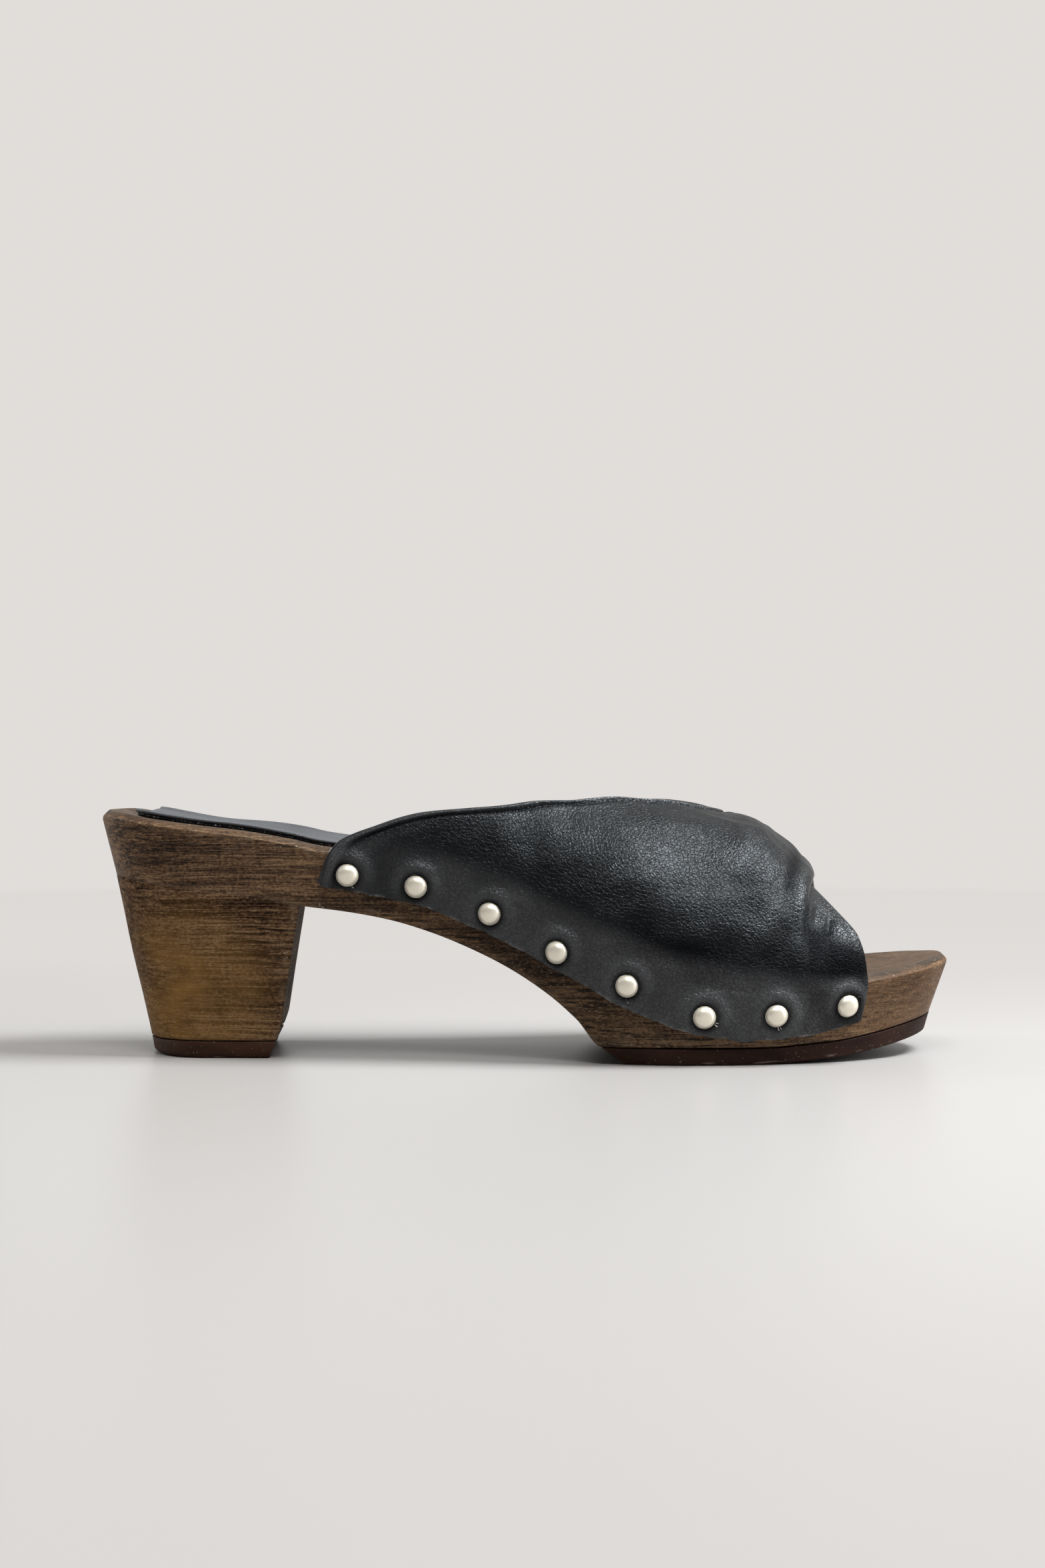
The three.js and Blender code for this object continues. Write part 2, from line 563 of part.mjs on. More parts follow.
// The upper is one wall: a grid round the foot, from the outer lower edge over the crest to the inner,
// by a grid along it, from the throat through both folds of the knot to the toe edge.
function upper() {
  const skirtRows = [0, 0.5];
  const round = steps(13).map((t) => 1 - t).map((t) => t ** 1.1);
  const rows = [
    ...skirtRows.map((t) => ({ side: 'lateral', up: t })),
    ...round.map((t) => ({ across: -t })),
    ...[...round].reverse().slice(1).map((t) => ({ across: t })),
    ...[...skirtRows].reverse().map((t) => ({ side: 'medial', up: t })),
  ];
  const spans = [
    { cells: 14, from: 'back', to: 'rear' },
    { cells: 8, from: 'rear', to: 'front' },
    { cells: 4, from: 'front', to: 'toe' },
  ];
  const lines = ({ side, up, across }) => {
    const onSkirt = side !== undefined;
    const name = onSkirt ? side : (across < 0 ? 'lateral' : 'medial');
    const turn = onSkirt ? SIDES[side] * (1 + 0.2 * (1 - up)) : across;
    const level = onSkirt ? 1 : Math.abs(across);
    return {
      back: onSkirt ? mix(SKIRT_BACK[name], throat[name](1), up) : throat[name](level),
      rear: knot.rear(turn),
      front: knot.front(turn),
      toe: onSkirt ? mix(SKIRT_TOE[name], toeEdge[name](1), up) : toeEdge[name](level),
    };
  };
  const shares = (row) => {
    const marks = lines(row);
    const rear = Math.max(marks.rear, marks.back + 0.012);
    const front = Math.min(marks.front, marks.toe - 0.006);
    const found = { back: marks.back, rear, front, toe: marks.toe };
    const width = FOLD_WIDTH / LENGTH;
    const list = [found.back];
    for (const { cells, from, to } of spans) {
      const start = from === 'rear' ? found[from] + width : found[from];
      const end = to === 'front' ? found[to] - width : found[to];
      if (from === 'rear') list.push(start);
      for (const t of steps(cells).slice(1)) list.push(mix(start, end, t));
      if (to === 'front') list.push(found[to]);
    }
    return list;
  };
  const base = (row, share) => {
    if (row.across !== undefined) return instepPoint(row.across, share);
    const drop = SKIRT * skirtDrop(share) * (1 - row.up);
    return skirtPoint(row.side, share, drop, SKIRT_GAP + WALL).point;
  };
  const grid = rows.map((row) => shares(row).map((share) => base(row, share)));
  const normal = (i, j) => {
    const at = (r, c) => grid[Math.min(Math.max(r, 0), rows.length - 1)][Math.min(Math.max(c, 0), grid[0].length - 1)];
    const round1 = at(i + 1, j).clone().sub(at(i - 1, j));
    const along = at(i, j + 1).clone().sub(at(i, j - 1));
    return round1.cross(along).normalize();
  };
  const outer = grid.map((line, i) => {
    const list = shares(rows[i]);
    return line.map((p, j) => {
      const across = rows[i].across ?? SIDES[rows[i].side] * 1.2;
      return p.clone().addScaledVector(normal(i, j), -knotLift(across, list[j]));
    });
  });
  const inner = grid.map((line, i) => line.map((p, j) => p.clone().addScaledVector(normal(i, j), WALL)));
  return outward(shell(outer, inner));
}

// Wall between two grids of the same size.
function shell(outer, inner) {
  const [rows, columns] = [outer.length, outer[0].length];
  const points = [...outer.flat(), ...inner.flat()];
  const at = (layer, i, j) => layer * rows * columns + i * columns + j;
  const triangles = [];
  const quad = (a, b, c, d) => triangles.push([a, b, c], [a, c, d]);
  for (let i = 0; i + 1 < rows; i += 1) {
    for (let j = 0; j + 1 < columns; j += 1) {
      quad(at(0, i, j), at(0, i, j + 1), at(0, i + 1, j + 1), at(0, i + 1, j));
      quad(at(1, i, j), at(1, i + 1, j), at(1, i + 1, j + 1), at(1, i, j + 1));
    }
    quad(at(0, i, 0), at(0, i + 1, 0), at(1, i + 1, 0), at(1, i, 0));
    const j = columns - 1;
    quad(at(0, i, j), at(1, i, j), at(1, i + 1, j), at(0, i + 1, j));
  }
  for (let j = 0; j + 1 < columns; j += 1) {
    quad(at(0, 0, j), at(1, 0, j), at(1, 0, j + 1), at(0, 0, j + 1));
    const i = rows - 1;
    quad(at(0, i, j), at(0, i, j + 1), at(1, i, j + 1), at(1, i, j));
  }
  return solid(points, triangles);
}

// Domed nail head, with its flat side on the leather and its dome along local Y.
function stud() {
  const radius = STUD_DIAMETER / 2;
  const sphere = (radius * radius + STUD_HEIGHT * STUD_HEIGHT) / (2 * STUD_HEIGHT);
  const full = Math.asin(Math.min(radius / sphere, 1));
  const dome = [1, 0.78, 0.52, 0.26].map((t) => new THREE.Vector2(
    sphere * Math.sin(full * t),
    STUD_HEIGHT - sphere * (1 - Math.cos(full * t)),
  ));
  const profile = [new THREE.Vector2(0, 0), ...dome, new THREE.Vector2(0, STUD_HEIGHT)];
  const lathe = new THREE.LatheGeometry(profile, STUD_SIDES);
  const place = lathe.attributes.position;
  const points = Array.from({ length: place.count }, (_, i) => new THREE.Vector3().fromBufferAttribute(place, i));
  const index = lathe.getIndex().array;
  const triangles = Array.from({ length: index.length / 3 }, (_, i) => [...index.slice(3 * i, 3 * i + 3)]);
  return outward(solid(points, triangles));
}

function named(name, geometry, material) {
  const mesh = new THREE.Mesh(geometry, material);
  mesh.name = name;
  return mesh;
}

const shoe = new THREE.Group();
shoe.add(
  named('sole_board', board(), WOOD),
  named('heel_block', heelBlock(), WOOD),
  named('heel_lift', heelLift(), RUBBER),
  named('forefoot_outsole', outsole(), RUBBER),
  named('sock', sock(), SOCK_LEATHER),
  named('upper', upper(), LEATHER),
);
const studShape = stud();
for (const side of Object.keys(SIDES)) {
  STUDS.forEach(({ at, drop }, i) => {
    const { point, out } = skirtPoint(side, at, drop * SKIRT, SKIRT_GAP + WALL + GAP);
    const mesh = named(`stud_${side}_${i + 1}`, studShape, NICKEL);
    mesh.position.copy(point);
    mesh.quaternion.setFromUnitVectors(new THREE.Vector3(0, 1, 0), out);
    shoe.add(mesh);
  });
}

// Origin: on the floor, at the middle of the shoe's length and width.
const extent = new THREE.Box3().setFromObject(shoe, true);
const middle = extent.getCenter(new THREE.Vector3());
shoe.position.set(-middle.x, -middle.y, -extent.min.z);

export default shoe;
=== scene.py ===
"""Looks of the heeled wooden clog: carved and stained wood, twisted pebbled leather, nickel studs, rubber.

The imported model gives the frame. The pieces here are the same forms as its solids, from the same sizes and
tables in millimetres, with the rounded edges, folds and grain that the solids leave out.
"""
import math

import bmesh
import bpy
import numpy as np
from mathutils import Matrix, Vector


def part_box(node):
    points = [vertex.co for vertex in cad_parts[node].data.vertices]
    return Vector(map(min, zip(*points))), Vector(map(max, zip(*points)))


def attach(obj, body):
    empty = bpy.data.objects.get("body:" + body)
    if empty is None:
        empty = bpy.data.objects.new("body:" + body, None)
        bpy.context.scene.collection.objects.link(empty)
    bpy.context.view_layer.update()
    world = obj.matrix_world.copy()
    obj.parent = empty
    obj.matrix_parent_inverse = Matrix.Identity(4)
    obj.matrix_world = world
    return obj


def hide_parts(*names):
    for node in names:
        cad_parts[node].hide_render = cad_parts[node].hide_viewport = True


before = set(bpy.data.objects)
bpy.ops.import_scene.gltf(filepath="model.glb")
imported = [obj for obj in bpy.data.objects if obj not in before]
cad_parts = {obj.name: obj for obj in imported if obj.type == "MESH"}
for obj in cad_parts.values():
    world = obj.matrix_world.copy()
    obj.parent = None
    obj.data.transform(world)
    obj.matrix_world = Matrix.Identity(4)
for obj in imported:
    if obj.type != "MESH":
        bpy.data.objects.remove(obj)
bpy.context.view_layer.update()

random = np.random.default_rng(7)

# Sizes, as in the part
LENGTH = 250.7
HEEL_WIDTH = 60.0
BALL_WIDTH = 90.0
SEAT_HEIGHT = 71.3
FOREFOOT_HEIGHT = 22.7
TOE_RISE = 6.1
SEAT_THICKNESS = 18.7
TOE_SPRING = 7.6
BEVEL = 1.9
DISH = 2.6
DIP = 1.6
DIP_PLACE = 37.0
DIP_LENGTH = 19.0
BACK_RAKE = 4.1
TOE_RAKE = 5.2
SIDE_RAKE = 1.8
TIP_OFFSET = 6.0
HEEL_ROUND = 31.0
HEEL_POWER = 2.4
HEEL_BREAST = 60.0
BASE_BACK = 14.4
BASE_FRONT = 53.9
BASE_WIDTH = 50.0
BREAST_SKEW = 1.5
BREAST_HOLLOW = 1.2
BREAST_CHAMFER = 3.8
LIFT_THICKNESS = 4.9
LIFT_BACK_BEVEL = 2.2
LIFT_FRONT_RAKE = 2.6
OUTSOLE_THICKNESS = 4.7
OUTSOLE_START = 147.0
OUTSOLE_START_RAKE = 6.6
SOCK_THICKNESS = 1.6
SOCK_BACK = 13.4
SOCK_SKEW = 1.4
SOCK_LENGTH = 166.6
SOCK_INSET = 4.6
SOCK_CORNER = 5.0
WALL = 2.0
SKIRT = 13.5
RIDGE_OFFSET = 3.0
INSTEP_HEIGHT = 75.0
KNOT_HEIGHT = 4.6
STUD_DIAMETER = 6.8
STUD_HEIGHT = 2.1
GAP = 0.3
SKIRT_GAP = 0.4
ARCH_POWER = 2.3

# share of LENGTH, share of the drop from seat to ball, share of TOE_RISE
TOP_LINE = np.array([
    (0, 1, 0), (.02, .998, 0), (.059, .971, 0), (.126, .926, 0), (.177, .895, 0), (.231, .844, 0),
    (.26, .809, 0), (.319, .767, 0), (.375, .724, 0), (.439, .628, 0), (.499, .498, 0), (.558, .344, 0),
    (.614, .204, 0), (.67, .086, 0), (.718, .025, 0), (.758, .004, 0), (.798, 0, 0), (.838, 0, .1),
    (.878, 0, .28), (.905, 0, .44), (.937, 0, .62), (.961, 0, .77), (1, 0, 1)])
# share of LENGTH, share of the underside's height at the seat, share of TOE_SPRING
UNDER_LINE = np.array([
    (0, 1, 0), (.027, .986, 0), (.092, .943, 0), (.128, .919, 0), (.175, .887, 0), (.24, .83, 0),
    (.299, .788, 0), (.345, .742, 0), (.389, .673, 0), (.435, .577, 0), (.48, .46, 0), (.524, .31, 0),
    (.557, .162, 0), (.586, 0, 0), (.7, 0, 0), (.77, 0, 0), (.814, 0, .08), (.857, 0, .185),
    (.903, 0, .41), (.939, 0, .63), (.973, 0, .84), (1, 0, 1)])
# share of LENGTH, outer and inner half width: 0 is half of HEEL_WIDTH and 1 half of BALL_WIDTH
OUTLINE = np.array([
    (0, 0, .03), (.12, 0, .03), (.24, .05, 0), (.36, .13, -.1), (.48, .4, -.04), (.6, .89, .5),
    (.665, 1.07, .82), (.73, 1.07, .94), (1, 1.07, .94)])
TOE_ROUND = {-1: (.665, 2.2), 1: (.73, 2.3)}
# share of LENGTH, share of INSTEP_HEIGHT
CREST = np.array([
    (.24, 1.381), (.34, 1.361), (.4, 1.291), (.46, 1.209), (.51, 1.139), (.556, 1.092), (.597, 1.057),
    (.634, 1.025), (.662, 1.004), (.691, .976), (.719, .948), (.738, .925), (.757, .905), (.767, .888),
    (.785, .813), (.805, .769), (.824, .7), (.834, .658), (.845, .638), (.87, .62), (.9, .61)])
# 0 at the crest and 1 at the board's edge, outer and inner share of LENGTH
THROAT = np.array([
    (0, .724, .724), (.07, .7, .704), (.13, .668, .682), (.2, .635, .656), (.284, .594, .624),
    (.388, .557, .592), (.496, .511, .556), (.608, .474, .518), (.708, .431, .476), (.778, .392, .434),
    (.831, .363, .4), (.88, .334, .368), (.927, .305, .337), (.957, .29, .322), (.979, .284, .314),
    (1, .278, .308)])
TOE_EDGE = np.array([
    (0, .829, .83), (.1, .833, .834), (.26, .8437, .842), (.483, .863, .858), (.64, .8757, .868),
    (.793, .8815, .876), (1, .8845, .882)])
SKIRT_BACK = {-1: .262, 1: .29}
SKIRT_TOE = {-1: .887, 1: .884}
# share of LENGTH, share of SKIRT
SKIRT_LINE = np.array([
    (.262, .69), (.3, .72), (.345, .766), (.377, .793), (.413, .864), (.446, .902), (.48, .93),
    (.524, .96), (.582, .98), (.607, 1.02), (.639, 1), (.747, 1), (.802, .937), (.835, .9), (.867, .825),
    (.891, .766)])
STUDS = [(.294, .379), (.374, .406), (.46, .474), (.5382, .585), (.6174, .541), (.7047, .608), (.7855, .452),
         (.8665, .378)]
# Place across the instep; where the crossing layer's front and rear folds meet the layer under them, as
# shares of LENGTH; and how proud each stands, as shares of KNOT_HEIGHT.
FOLD_FRONT = np.array([
    (-1.2, .813, 0), (-.76, .8135, .02), (-.64, .8155, .30), (-.52, .8185, .66), (-.4, .8215, .84),
    (-.25, .827, .94), (0, .8334, 1), (.12, .839, .92), (.3, .847, .62), (.5, .859, .34),
    (.74, .87, 0), (1.2, .877, 0)])
FOLD_REAR = np.array([
    (-1.2, .715, 0), (-.3, .72, 0), (0, .732, .22), (.12, .737, .45), (.3, .742, .72), (.5, .748, .6),
    (.74, .754, 0), (1.2, .758, 0)])


def through(table, column=1):
    """Curve through one column of a table against its first, smooth and without overshoot."""
    x, y = table[:, 0], table[:, column]
    slope = np.diff(y) / np.diff(x)
    before, after = slope[:-1], slope[1:]
    total = np.where(before * after > 0, before + after, 1)
    inner = np.where(before * after > 0, 2 * before * after / total, 0)
    tangent = np.concatenate([slope[:1], inner, slope[-1:]])

    def at(value):
        v = np.clip(value, x[0], x[-1])
        i = np.clip(np.searchsorted(x, v, side="right") - 1, 0, len(x) - 2)
        span = x[i + 1] - x[i]
        t = (v - x[i]) / span
        s = 1 - t
        return ((1 + 2 * t) * s * s * y[i] + t * s * s * span * tangent[i]
                + t * t * (3 - 2 * t) * y[i + 1] - t * t * s * span * tangent[i + 1])
    return at


def mix(a, b, t):
    return a + (b - a) * t


def smooth(t):
    t = np.clip(t, 0, 1)
    return t * t * (3 - 2 * t)


def bell(d, width):
    return np.exp(-(d / width) ** 2)


def ripples(d, table):
    """Sum of bells along a distance: the place, height and width of each."""
    return sum(height * bell(d - place, width) for place, height, width in table)


def unit(v):
    return v / np.maximum(np.linalg.norm(v, axis=-1, keepdims=True), 1e-12)


def path_length(p):
    """Length along a polyline up to each of its points."""
    return np.concatenate([[0], np.cumsum(np.linalg.norm(np.diff(p, axis=0), axis=1))])


def resampled(p, at):
    """Points of a polyline at lengths along it."""
    return np.stack([np.interp(at, path_length(p), p[:, i]) for i in range(3)], -1)


top_rise, top_spring = through(TOP_LINE), through(TOP_LINE, 2)
under_rise, under_spring = through(UNDER_LINE), through(UNDER_LINE, 2)
spread = {-1: through(OUTLINE), 1: through(OUTLINE, 2)}
crest = through(CREST)
throat = {-1: through(THROAT), 1: through(THROAT, 2)}
toe_edge = {-1: through(TOE_EDGE), 1: through(TOE_EDGE, 2)}
skirt_drop = through(SKIRT_LINE)
front_at, front_proud = through(FOLD_FRONT), through(FOLD_FRONT, 2)
rear_at, rear_proud = through(FOLD_REAR), through(FOLD_REAR, 2)


def top_height(x):
    return (FOREFOOT_HEIGHT + (SEAT_HEIGHT - FOREFOOT_HEIGHT) * top_rise(x / LENGTH)
            + TOE_RISE * top_spring(x / LENGTH))


def spring_height(x):
    return TOE_SPRING * under_spring(x / LENGTH)


def under_height(x):
    drop = SEAT_HEIGHT - SEAT_THICKNESS - OUTSOLE_THICKNESS - GAP
    return OUTSOLE_THICKNESS + GAP + drop * under_rise(x / LENGTH) + spring_height(x)


def outline_y(sign, share):
    start, power = TOE_ROUND[sign]
    share = np.clip(share, 0, 1)
    half = mix(HEEL_WIDTH / 2, BALL_WIDTH / 2, spread[sign](share))
    t = np.clip((share - start) / (1 - start), 0, 1)
    toe = TIP_OFFSET + (sign * half - TIP_OFFSET) * (1 - t ** power) ** (1 / power)
    back = np.clip(share * LENGTH / HEEL_ROUND, 0, 1)
    heel = sign * half * (1 - (1 - back) ** HEEL_POWER) ** (1 / HEEL_POWER)
    return np.where(share > start, toe, heel)


def drawn_in(y, middle, by):
    """The outline's y moved by a distance towards the middle."""
    reach = np.abs(y - middle)
    keep = np.where(reach > by, (reach - by) / np.maximum(reach, 1e-9), 0)
    return middle + (y - middle) * keep


def wall_point(sign, share, depth):
    """Point on the board's side wall: depth 0 at the top edge, 1 at the underside."""
    x, y = share * LENGTH, outline_y(sign, share)
    under_x = mix(BACK_RAKE, LENGTH - TOE_RAKE, share)
    under_y = drawn_in(y, TIP_OFFSET * smooth((share - .6) / .4), SIDE_RAKE)
    high, low = top_height(x) - BEVEL, under_height(under_x)
    return np.stack([mix(x, under_x, depth), mix(y, under_y, depth), mix(high, low, depth)], -1)


def dish(share, across):
    """How hollow the footbed is, with its dip. across: -1 at the outer edge, 1 at the inner."""
    from_heel, from_toe = (np.sin(np.pi * np.clip(s * 5, 0, .5)) for s in (share, 1 - share))
    hollow = DISH * from_heel * from_toe * (1 - across * across)
    return hollow + DIP * smooth(across) * bell(share * LENGTH - DIP_PLACE, DIP_LENGTH)


def footbed_height(x, y):
    share = (x - BEVEL) / (LENGTH - 2 * BEVEL)
    left, right = outline_y(-1, share) + BEVEL, outline_y(1, share) - BEVEL
    across = np.clip(2 * (y - left) / np.maximum(right - left, 1e-6) - 1, -1, 1)
    return top_height(x) - dish(share, across) * np.minimum((right - left) / HEEL_WIDTH, 1)


def skirt_point(sign, share, drop, away=SKIRT_GAP + WALL):
    """Point beside the board's wall, a drop below its top edge and away from it, with the way out."""
    high, low = wall_point(sign, share, 0.0), wall_point(sign, share, 1.0)
    depth = drop / (high[..., 2] - low[..., 2])
    p = wall_point(sign, share, depth)
    along = wall_point(sign, np.minimum(share + .004, 1), depth) - wall_point(sign, share - .004, depth)
    out = unit(np.cross(along, low - high)) * sign
    return p + out * away, out


def instep_point(across, share):
    """The leather's outer surface under the crossing layer: across from -1 to 1 between the board's edges."""
    feet = [skirt_point(sign, share, 0.0)[0] for sign in (-1, 1)]
    foot = np.where((across < 0)[..., None], feet[0], feet[1])
    angle = np.clip(np.abs(across), 0, 1) * np.pi / 2
    level = np.maximum(np.cos(angle), 0) ** (2 / ARCH_POWER)
    side = np.sin(angle) ** (2 / ARCH_POWER)
    return np.stack([mix(foot[..., 0], share * LENGTH, level),
                     RIDGE_OFFSET + (foot[..., 1] - RIDGE_OFFSET) * side,
                     mix(foot[..., 2], INSTEP_HEIGHT * crest(share), level)], -1)


# Meshes
board_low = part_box("sole_board")[0]
widest = outline_y(-1, np.linspace(0, 1, 4001)).min()
SHIFT = np.array([board_low.x * 1000, board_low.y * 1000 - widest, 0])
HARD_ANGLE = math.radians(42)


def in_scene(name, data):
    made = bpy.data.objects.new(name, data)
    bpy.context.scene.collection.objects.link(made)
    return made


def waves(p, wavelength, seed, count=24):
    """Smooth noise from -1 to 1 over points, from plane waves of about one wavelength."""
    own = np.random.default_rng(seed)
    turn = own.normal(size=(count, 3))
    turn = unit(turn) * 2 * np.pi / wavelength * own.uniform(.6, 1.5, (count, 1))
    return np.sin(p @ turn.T + own.uniform(0, 2 * np.pi, count)).sum(-1) / math.sqrt(count / 2) / 1.7


def piece(name, points, faces, look, nodes=(), marks=None, hard=HARD_ANGLE):
    """Object from points in millimetres, closed and turned outward, riding on the shoe's body."""
    mesh = bpy.data.meshes.new(name)
    mesh.from_pydata(((np.asarray(points) + SHIFT) * .001).tolist(), [], faces)
    for key, values in (marks or {}).items():
        layer = mesh.attributes.new(key, "FLOAT", "POINT")
        layer.data.foreach_set("value", np.asarray(values, np.float32))
    work = bmesh.new()
    work.from_mesh(mesh)
    bmesh.ops.remove_doubles(work, verts=work.verts, dist=2e-6)
    bmesh.ops.dissolve_degenerate(work, edges=work.edges, dist=1e-6)
    bmesh.ops.recalc_face_normals(work, faces=work.faces)
    for face in work.faces:
        face.smooth = True
    work.to_mesh(mesh)
    work.free()
    mesh.set_sharp_from_angle(angle=hard)
    mesh.materials.append(look)
    made = in_scene(name, mesh)
    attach(made, "root")
    if nodes:
        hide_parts(*nodes)


def quads(rows, columns, around):
    """Faces between rings: rows of the same number of columns, joined round where around is true."""
    i, j = np.meshgrid(np.arange(rows - 1), np.arange(columns if around else columns - 1), indexing="ij")
    k = (j + 1) % columns
    found = np.stack([i * columns + j, i * columns + k, (i + 1) * columns + k, (i + 1) * columns + j], -1)
    return found.reshape(-1, 4).tolist()


def rounded(corners, radii, cuts, arc=4):
    """Rings from their corners (rings, corners, 3), each corner rounded by its radius, each edge cut.

    The second result is each point's place round the ring, counted in corners.
    """
    count = corners.shape[1]
    t = np.linspace(0, 1, arc + 1)[:, None]
    ends = []
    for k in range(count):
        c = corners[:, k]
        radius = np.broadcast_to(radii[k], len(c))[:, None]
        sides = []
        for other in (k - 1, (k + 1) % count):
            way = corners[:, other] - c
            reach = np.linalg.norm(way, axis=1, keepdims=True) * .45
            sides.append(c + unit(way) * np.minimum(radius, reach))
        ends.append((sides[0], c, sides[1]))
    parts, share = [], []
    for k in range(count):
        a, c, b = (p[:, None] for p in ends[k])
        following = ends[(k + 1) % count][0][:, None]
        u = (np.arange(1, cuts[k]) / cuts[k])[None, :, None]
        parts += [(1 - t) ** 2 * a + 2 * t * (1 - t) * c + t ** 2 * b, b * (1 - u) + following * u]
        share += [k + 0 * t[:, 0], k + u[0, :, 0]]
    return np.concatenate(parts, axis=1), np.concatenate(share)


def even_shares(count, start=0.0, end=1.0):
    """Stations from heel to toe, evenly spaced along the outline."""
    u = np.linspace(0, 1, 6001)
    fine = start + (end - start) * (.5 - .5 * np.cos(np.pi * u))
    fine = np.sort(np.concatenate([fine, start + (end - start) * u ** 4, end - (end - start) * u ** 4]))
    path = np.zeros(len(fine))
    for sign in (-1, 1):
        p = np.stack([fine * LENGTH, outline_y(sign, fine)], -1)
        path[1:] += np.cumsum(np.linalg.norm(np.diff(p, axis=0), axis=1))
    return np.interp(np.linspace(0, path[-1], count), path, fine)


def rings_piece(name, rings, look, nodes=(), marks=None, caps=(), hard=HARD_ANGLE):
    """Piece from closed rings joined one after the other. caps: the rings that a flat face closes."""
    rows, columns = rings.shape[:2]
    faces = quads(rows, columns, True)
    faces += [list(range(row * columns, (row + 1) * columns)) for row in caps]
    piece(name, rings.reshape(-1, 3), faces, look, nodes, marks, hard)


# Looks
class Look:
    """A node material under construction; every texture is read from the object's own coordinates."""

    def __init__(self, name):
        self.material = bpy.data.materials.new(name)
        self.material.use_nodes = True
        self.tree = self.material.node_tree
        self.shader = self.tree.nodes["Principled BSDF"]
        self.place = self.add("ShaderNodeTexCoord").outputs["Object"]

    def add(self, kind, values=None, **settings):
        node = self.tree.nodes.new(kind)
        for key, value in settings.items():
            setattr(node, key, value)
        for key, value in (values or {}).items():
            self.put(node.inputs[key], value)
        return node

    def put(self, socket, value):
        if isinstance(value, bpy.types.NodeSocket):
            self.tree.links.new(value, socket)
        else:
            socket.default_value = value

    def vector(self, operation, a, b):
        return self.add("ShaderNodeVectorMath", {0: a, 1: b}, operation=operation)

    def scaled(self, x, y, z, source=None):
        """Coordinates multiplied by so many per metre."""
        return self.add("ShaderNodeMapping", {"Vector": source or self.place, "Scale": (x, y, z)}).outputs[0]

    def noise(self, scale, detail=2.0, rough=.5, source=None):
        """Noise with one scale, or with a scale for each axis."""
        where, scale = (self.scaled(*scale, source), 1.0) if isinstance(scale, tuple) else (self.place, scale)
        values = {"Vector": where, "Scale": scale, "Detail": detail, "Roughness": rough}
        return self.add("ShaderNodeTexNoise", values).outputs["Fac"]

    def cells(self, where, scale, feature):
        node = self.add("ShaderNodeTexVoronoi", {"Vector": where, "Scale": scale}, feature=feature)
        return node.outputs["Distance"]

    def steps(self, value, *stops):
        """Ramp: each stop is a place and a grey or a colour."""
        node = self.add("ShaderNodeValToRGB", {"Fac": value})
        ramp = node.color_ramp
        ramp.elements[0].position, ramp.elements[1].position = stops[0][0], stops[-1][0]
        for at, _ in stops[1:-1]:
            ramp.elements.new(at)
        for element, (_, colour) in zip(ramp.elements, stops):
            element.color = (colour if isinstance(colour, tuple) else (colour,) * 3) + (1,)
        return node.outputs["Color"]

    def rise(self, value, low, high):
        return self.steps(value, (low, 0.0), (high, 1.0))

    def sums(self, operation, a, b=0.0, c=0.0):
        return self.add("ShaderNodeMath", {0: a, 1: b, 2: c}, operation=operation).outputs[0]

    def times(self, a, b):
        return self.sums("MULTIPLY", a, b)

    def linear(self, value, factor, start):
        return self.sums("MULTIPLY_ADD", value, factor, start)

    def weighted(self, layers):
        """Sum of values, each with its weight."""
        total = self.times(*layers[0])
        for value, weight in layers[1:]:
            total = self.linear(value, weight, total)
        return total

    def blend(self, amount, a, b, kind="MIX"):
        node = self.add("ShaderNodeMix", {"Factor": amount}, data_type="RGBA", blend_type=kind)
        for socket, value in ((node.inputs[6], a), (node.inputs[7], b)):
            self.put(socket, value + (1,) if isinstance(value, tuple) else value)
        return node.outputs[2]

    def tinted(self, colour, tint):
        return self.blend(1.0, colour, tint, "MULTIPLY")

    def mark(self, name):
        return self.add("ShaderNodeAttribute", attribute_name=name).outputs["Fac"]

    def axis(self, which):
        return self.add("ShaderNodeSeparateXYZ", {0: self.place}).outputs[which]

    def span(self, value, low, high):
        """0 below low, 1 above high, straight between."""
        node = self.add("ShaderNodeMapRange", {"Value": value, "From Min": low, "From Max": high})
        node.clamp = True
        return node.outputs["Result"]

    def near(self, centre, radius):
        """1 at a point given in the shoe's millimetres, 0 beyond a radius."""
        middle = tuple((np.array(centre) + SHIFT) * .001)
        away = self.vector("DISTANCE", self.place, middle).outputs["Value"]
        return self.span(away, radius * .001, 0.0)

    def bump(self, height, depth, strength=1.0, under=None):
        values = {"Height": height, "Distance": depth, "Strength": strength}
        if under is not None:
            values["Normal"] = under
        return self.add("ShaderNodeBump", values).outputs["Normal"]

    def finish(self, **sockets):
        names = {"colour": "Base Color", "rough": "Roughness", "normal": "Normal", "metal": "Metallic",
                 "specular": "Specular IOR Level", "gleam": "Specular Tint"}
        for key, value in sockets.items():
            value = value + (1,) if isinstance(value, tuple) else value
            self.put(self.shader.inputs[names[key]], value)
        return self.material


# Tones of the wood under its stain, and of what shows where it is worn. The footbed's tone is partly painted
# shade on the top, which the lamps above light most, and the rim's pale tone partly a painted highlight on
# the bevel.
DARK_WOOD, MIDDLE_WOOD, PALE_WOOD = (.011, .0064, .0040), (.082, .045, .0235), (.230, .140, .074)
GOLDEN_WOOD, FOOTBED_TONE_AND_SHADE = (.310, .165, .050), (.060, .047, .037)
DARK_RIM, PALE_RIM_AND_HIGHLIGHT, TOE_RIM_TINT = (.050, .029, .017), (.118, .074, .045), (.40, .43, .43)
SCRATCH, STROKE, CHIP, SPECK = (.27, .19, .125), (.25, .155, .10), (.20, .135, .085), (.40, .33, .25)
STAIN = (.72, .72, .72)
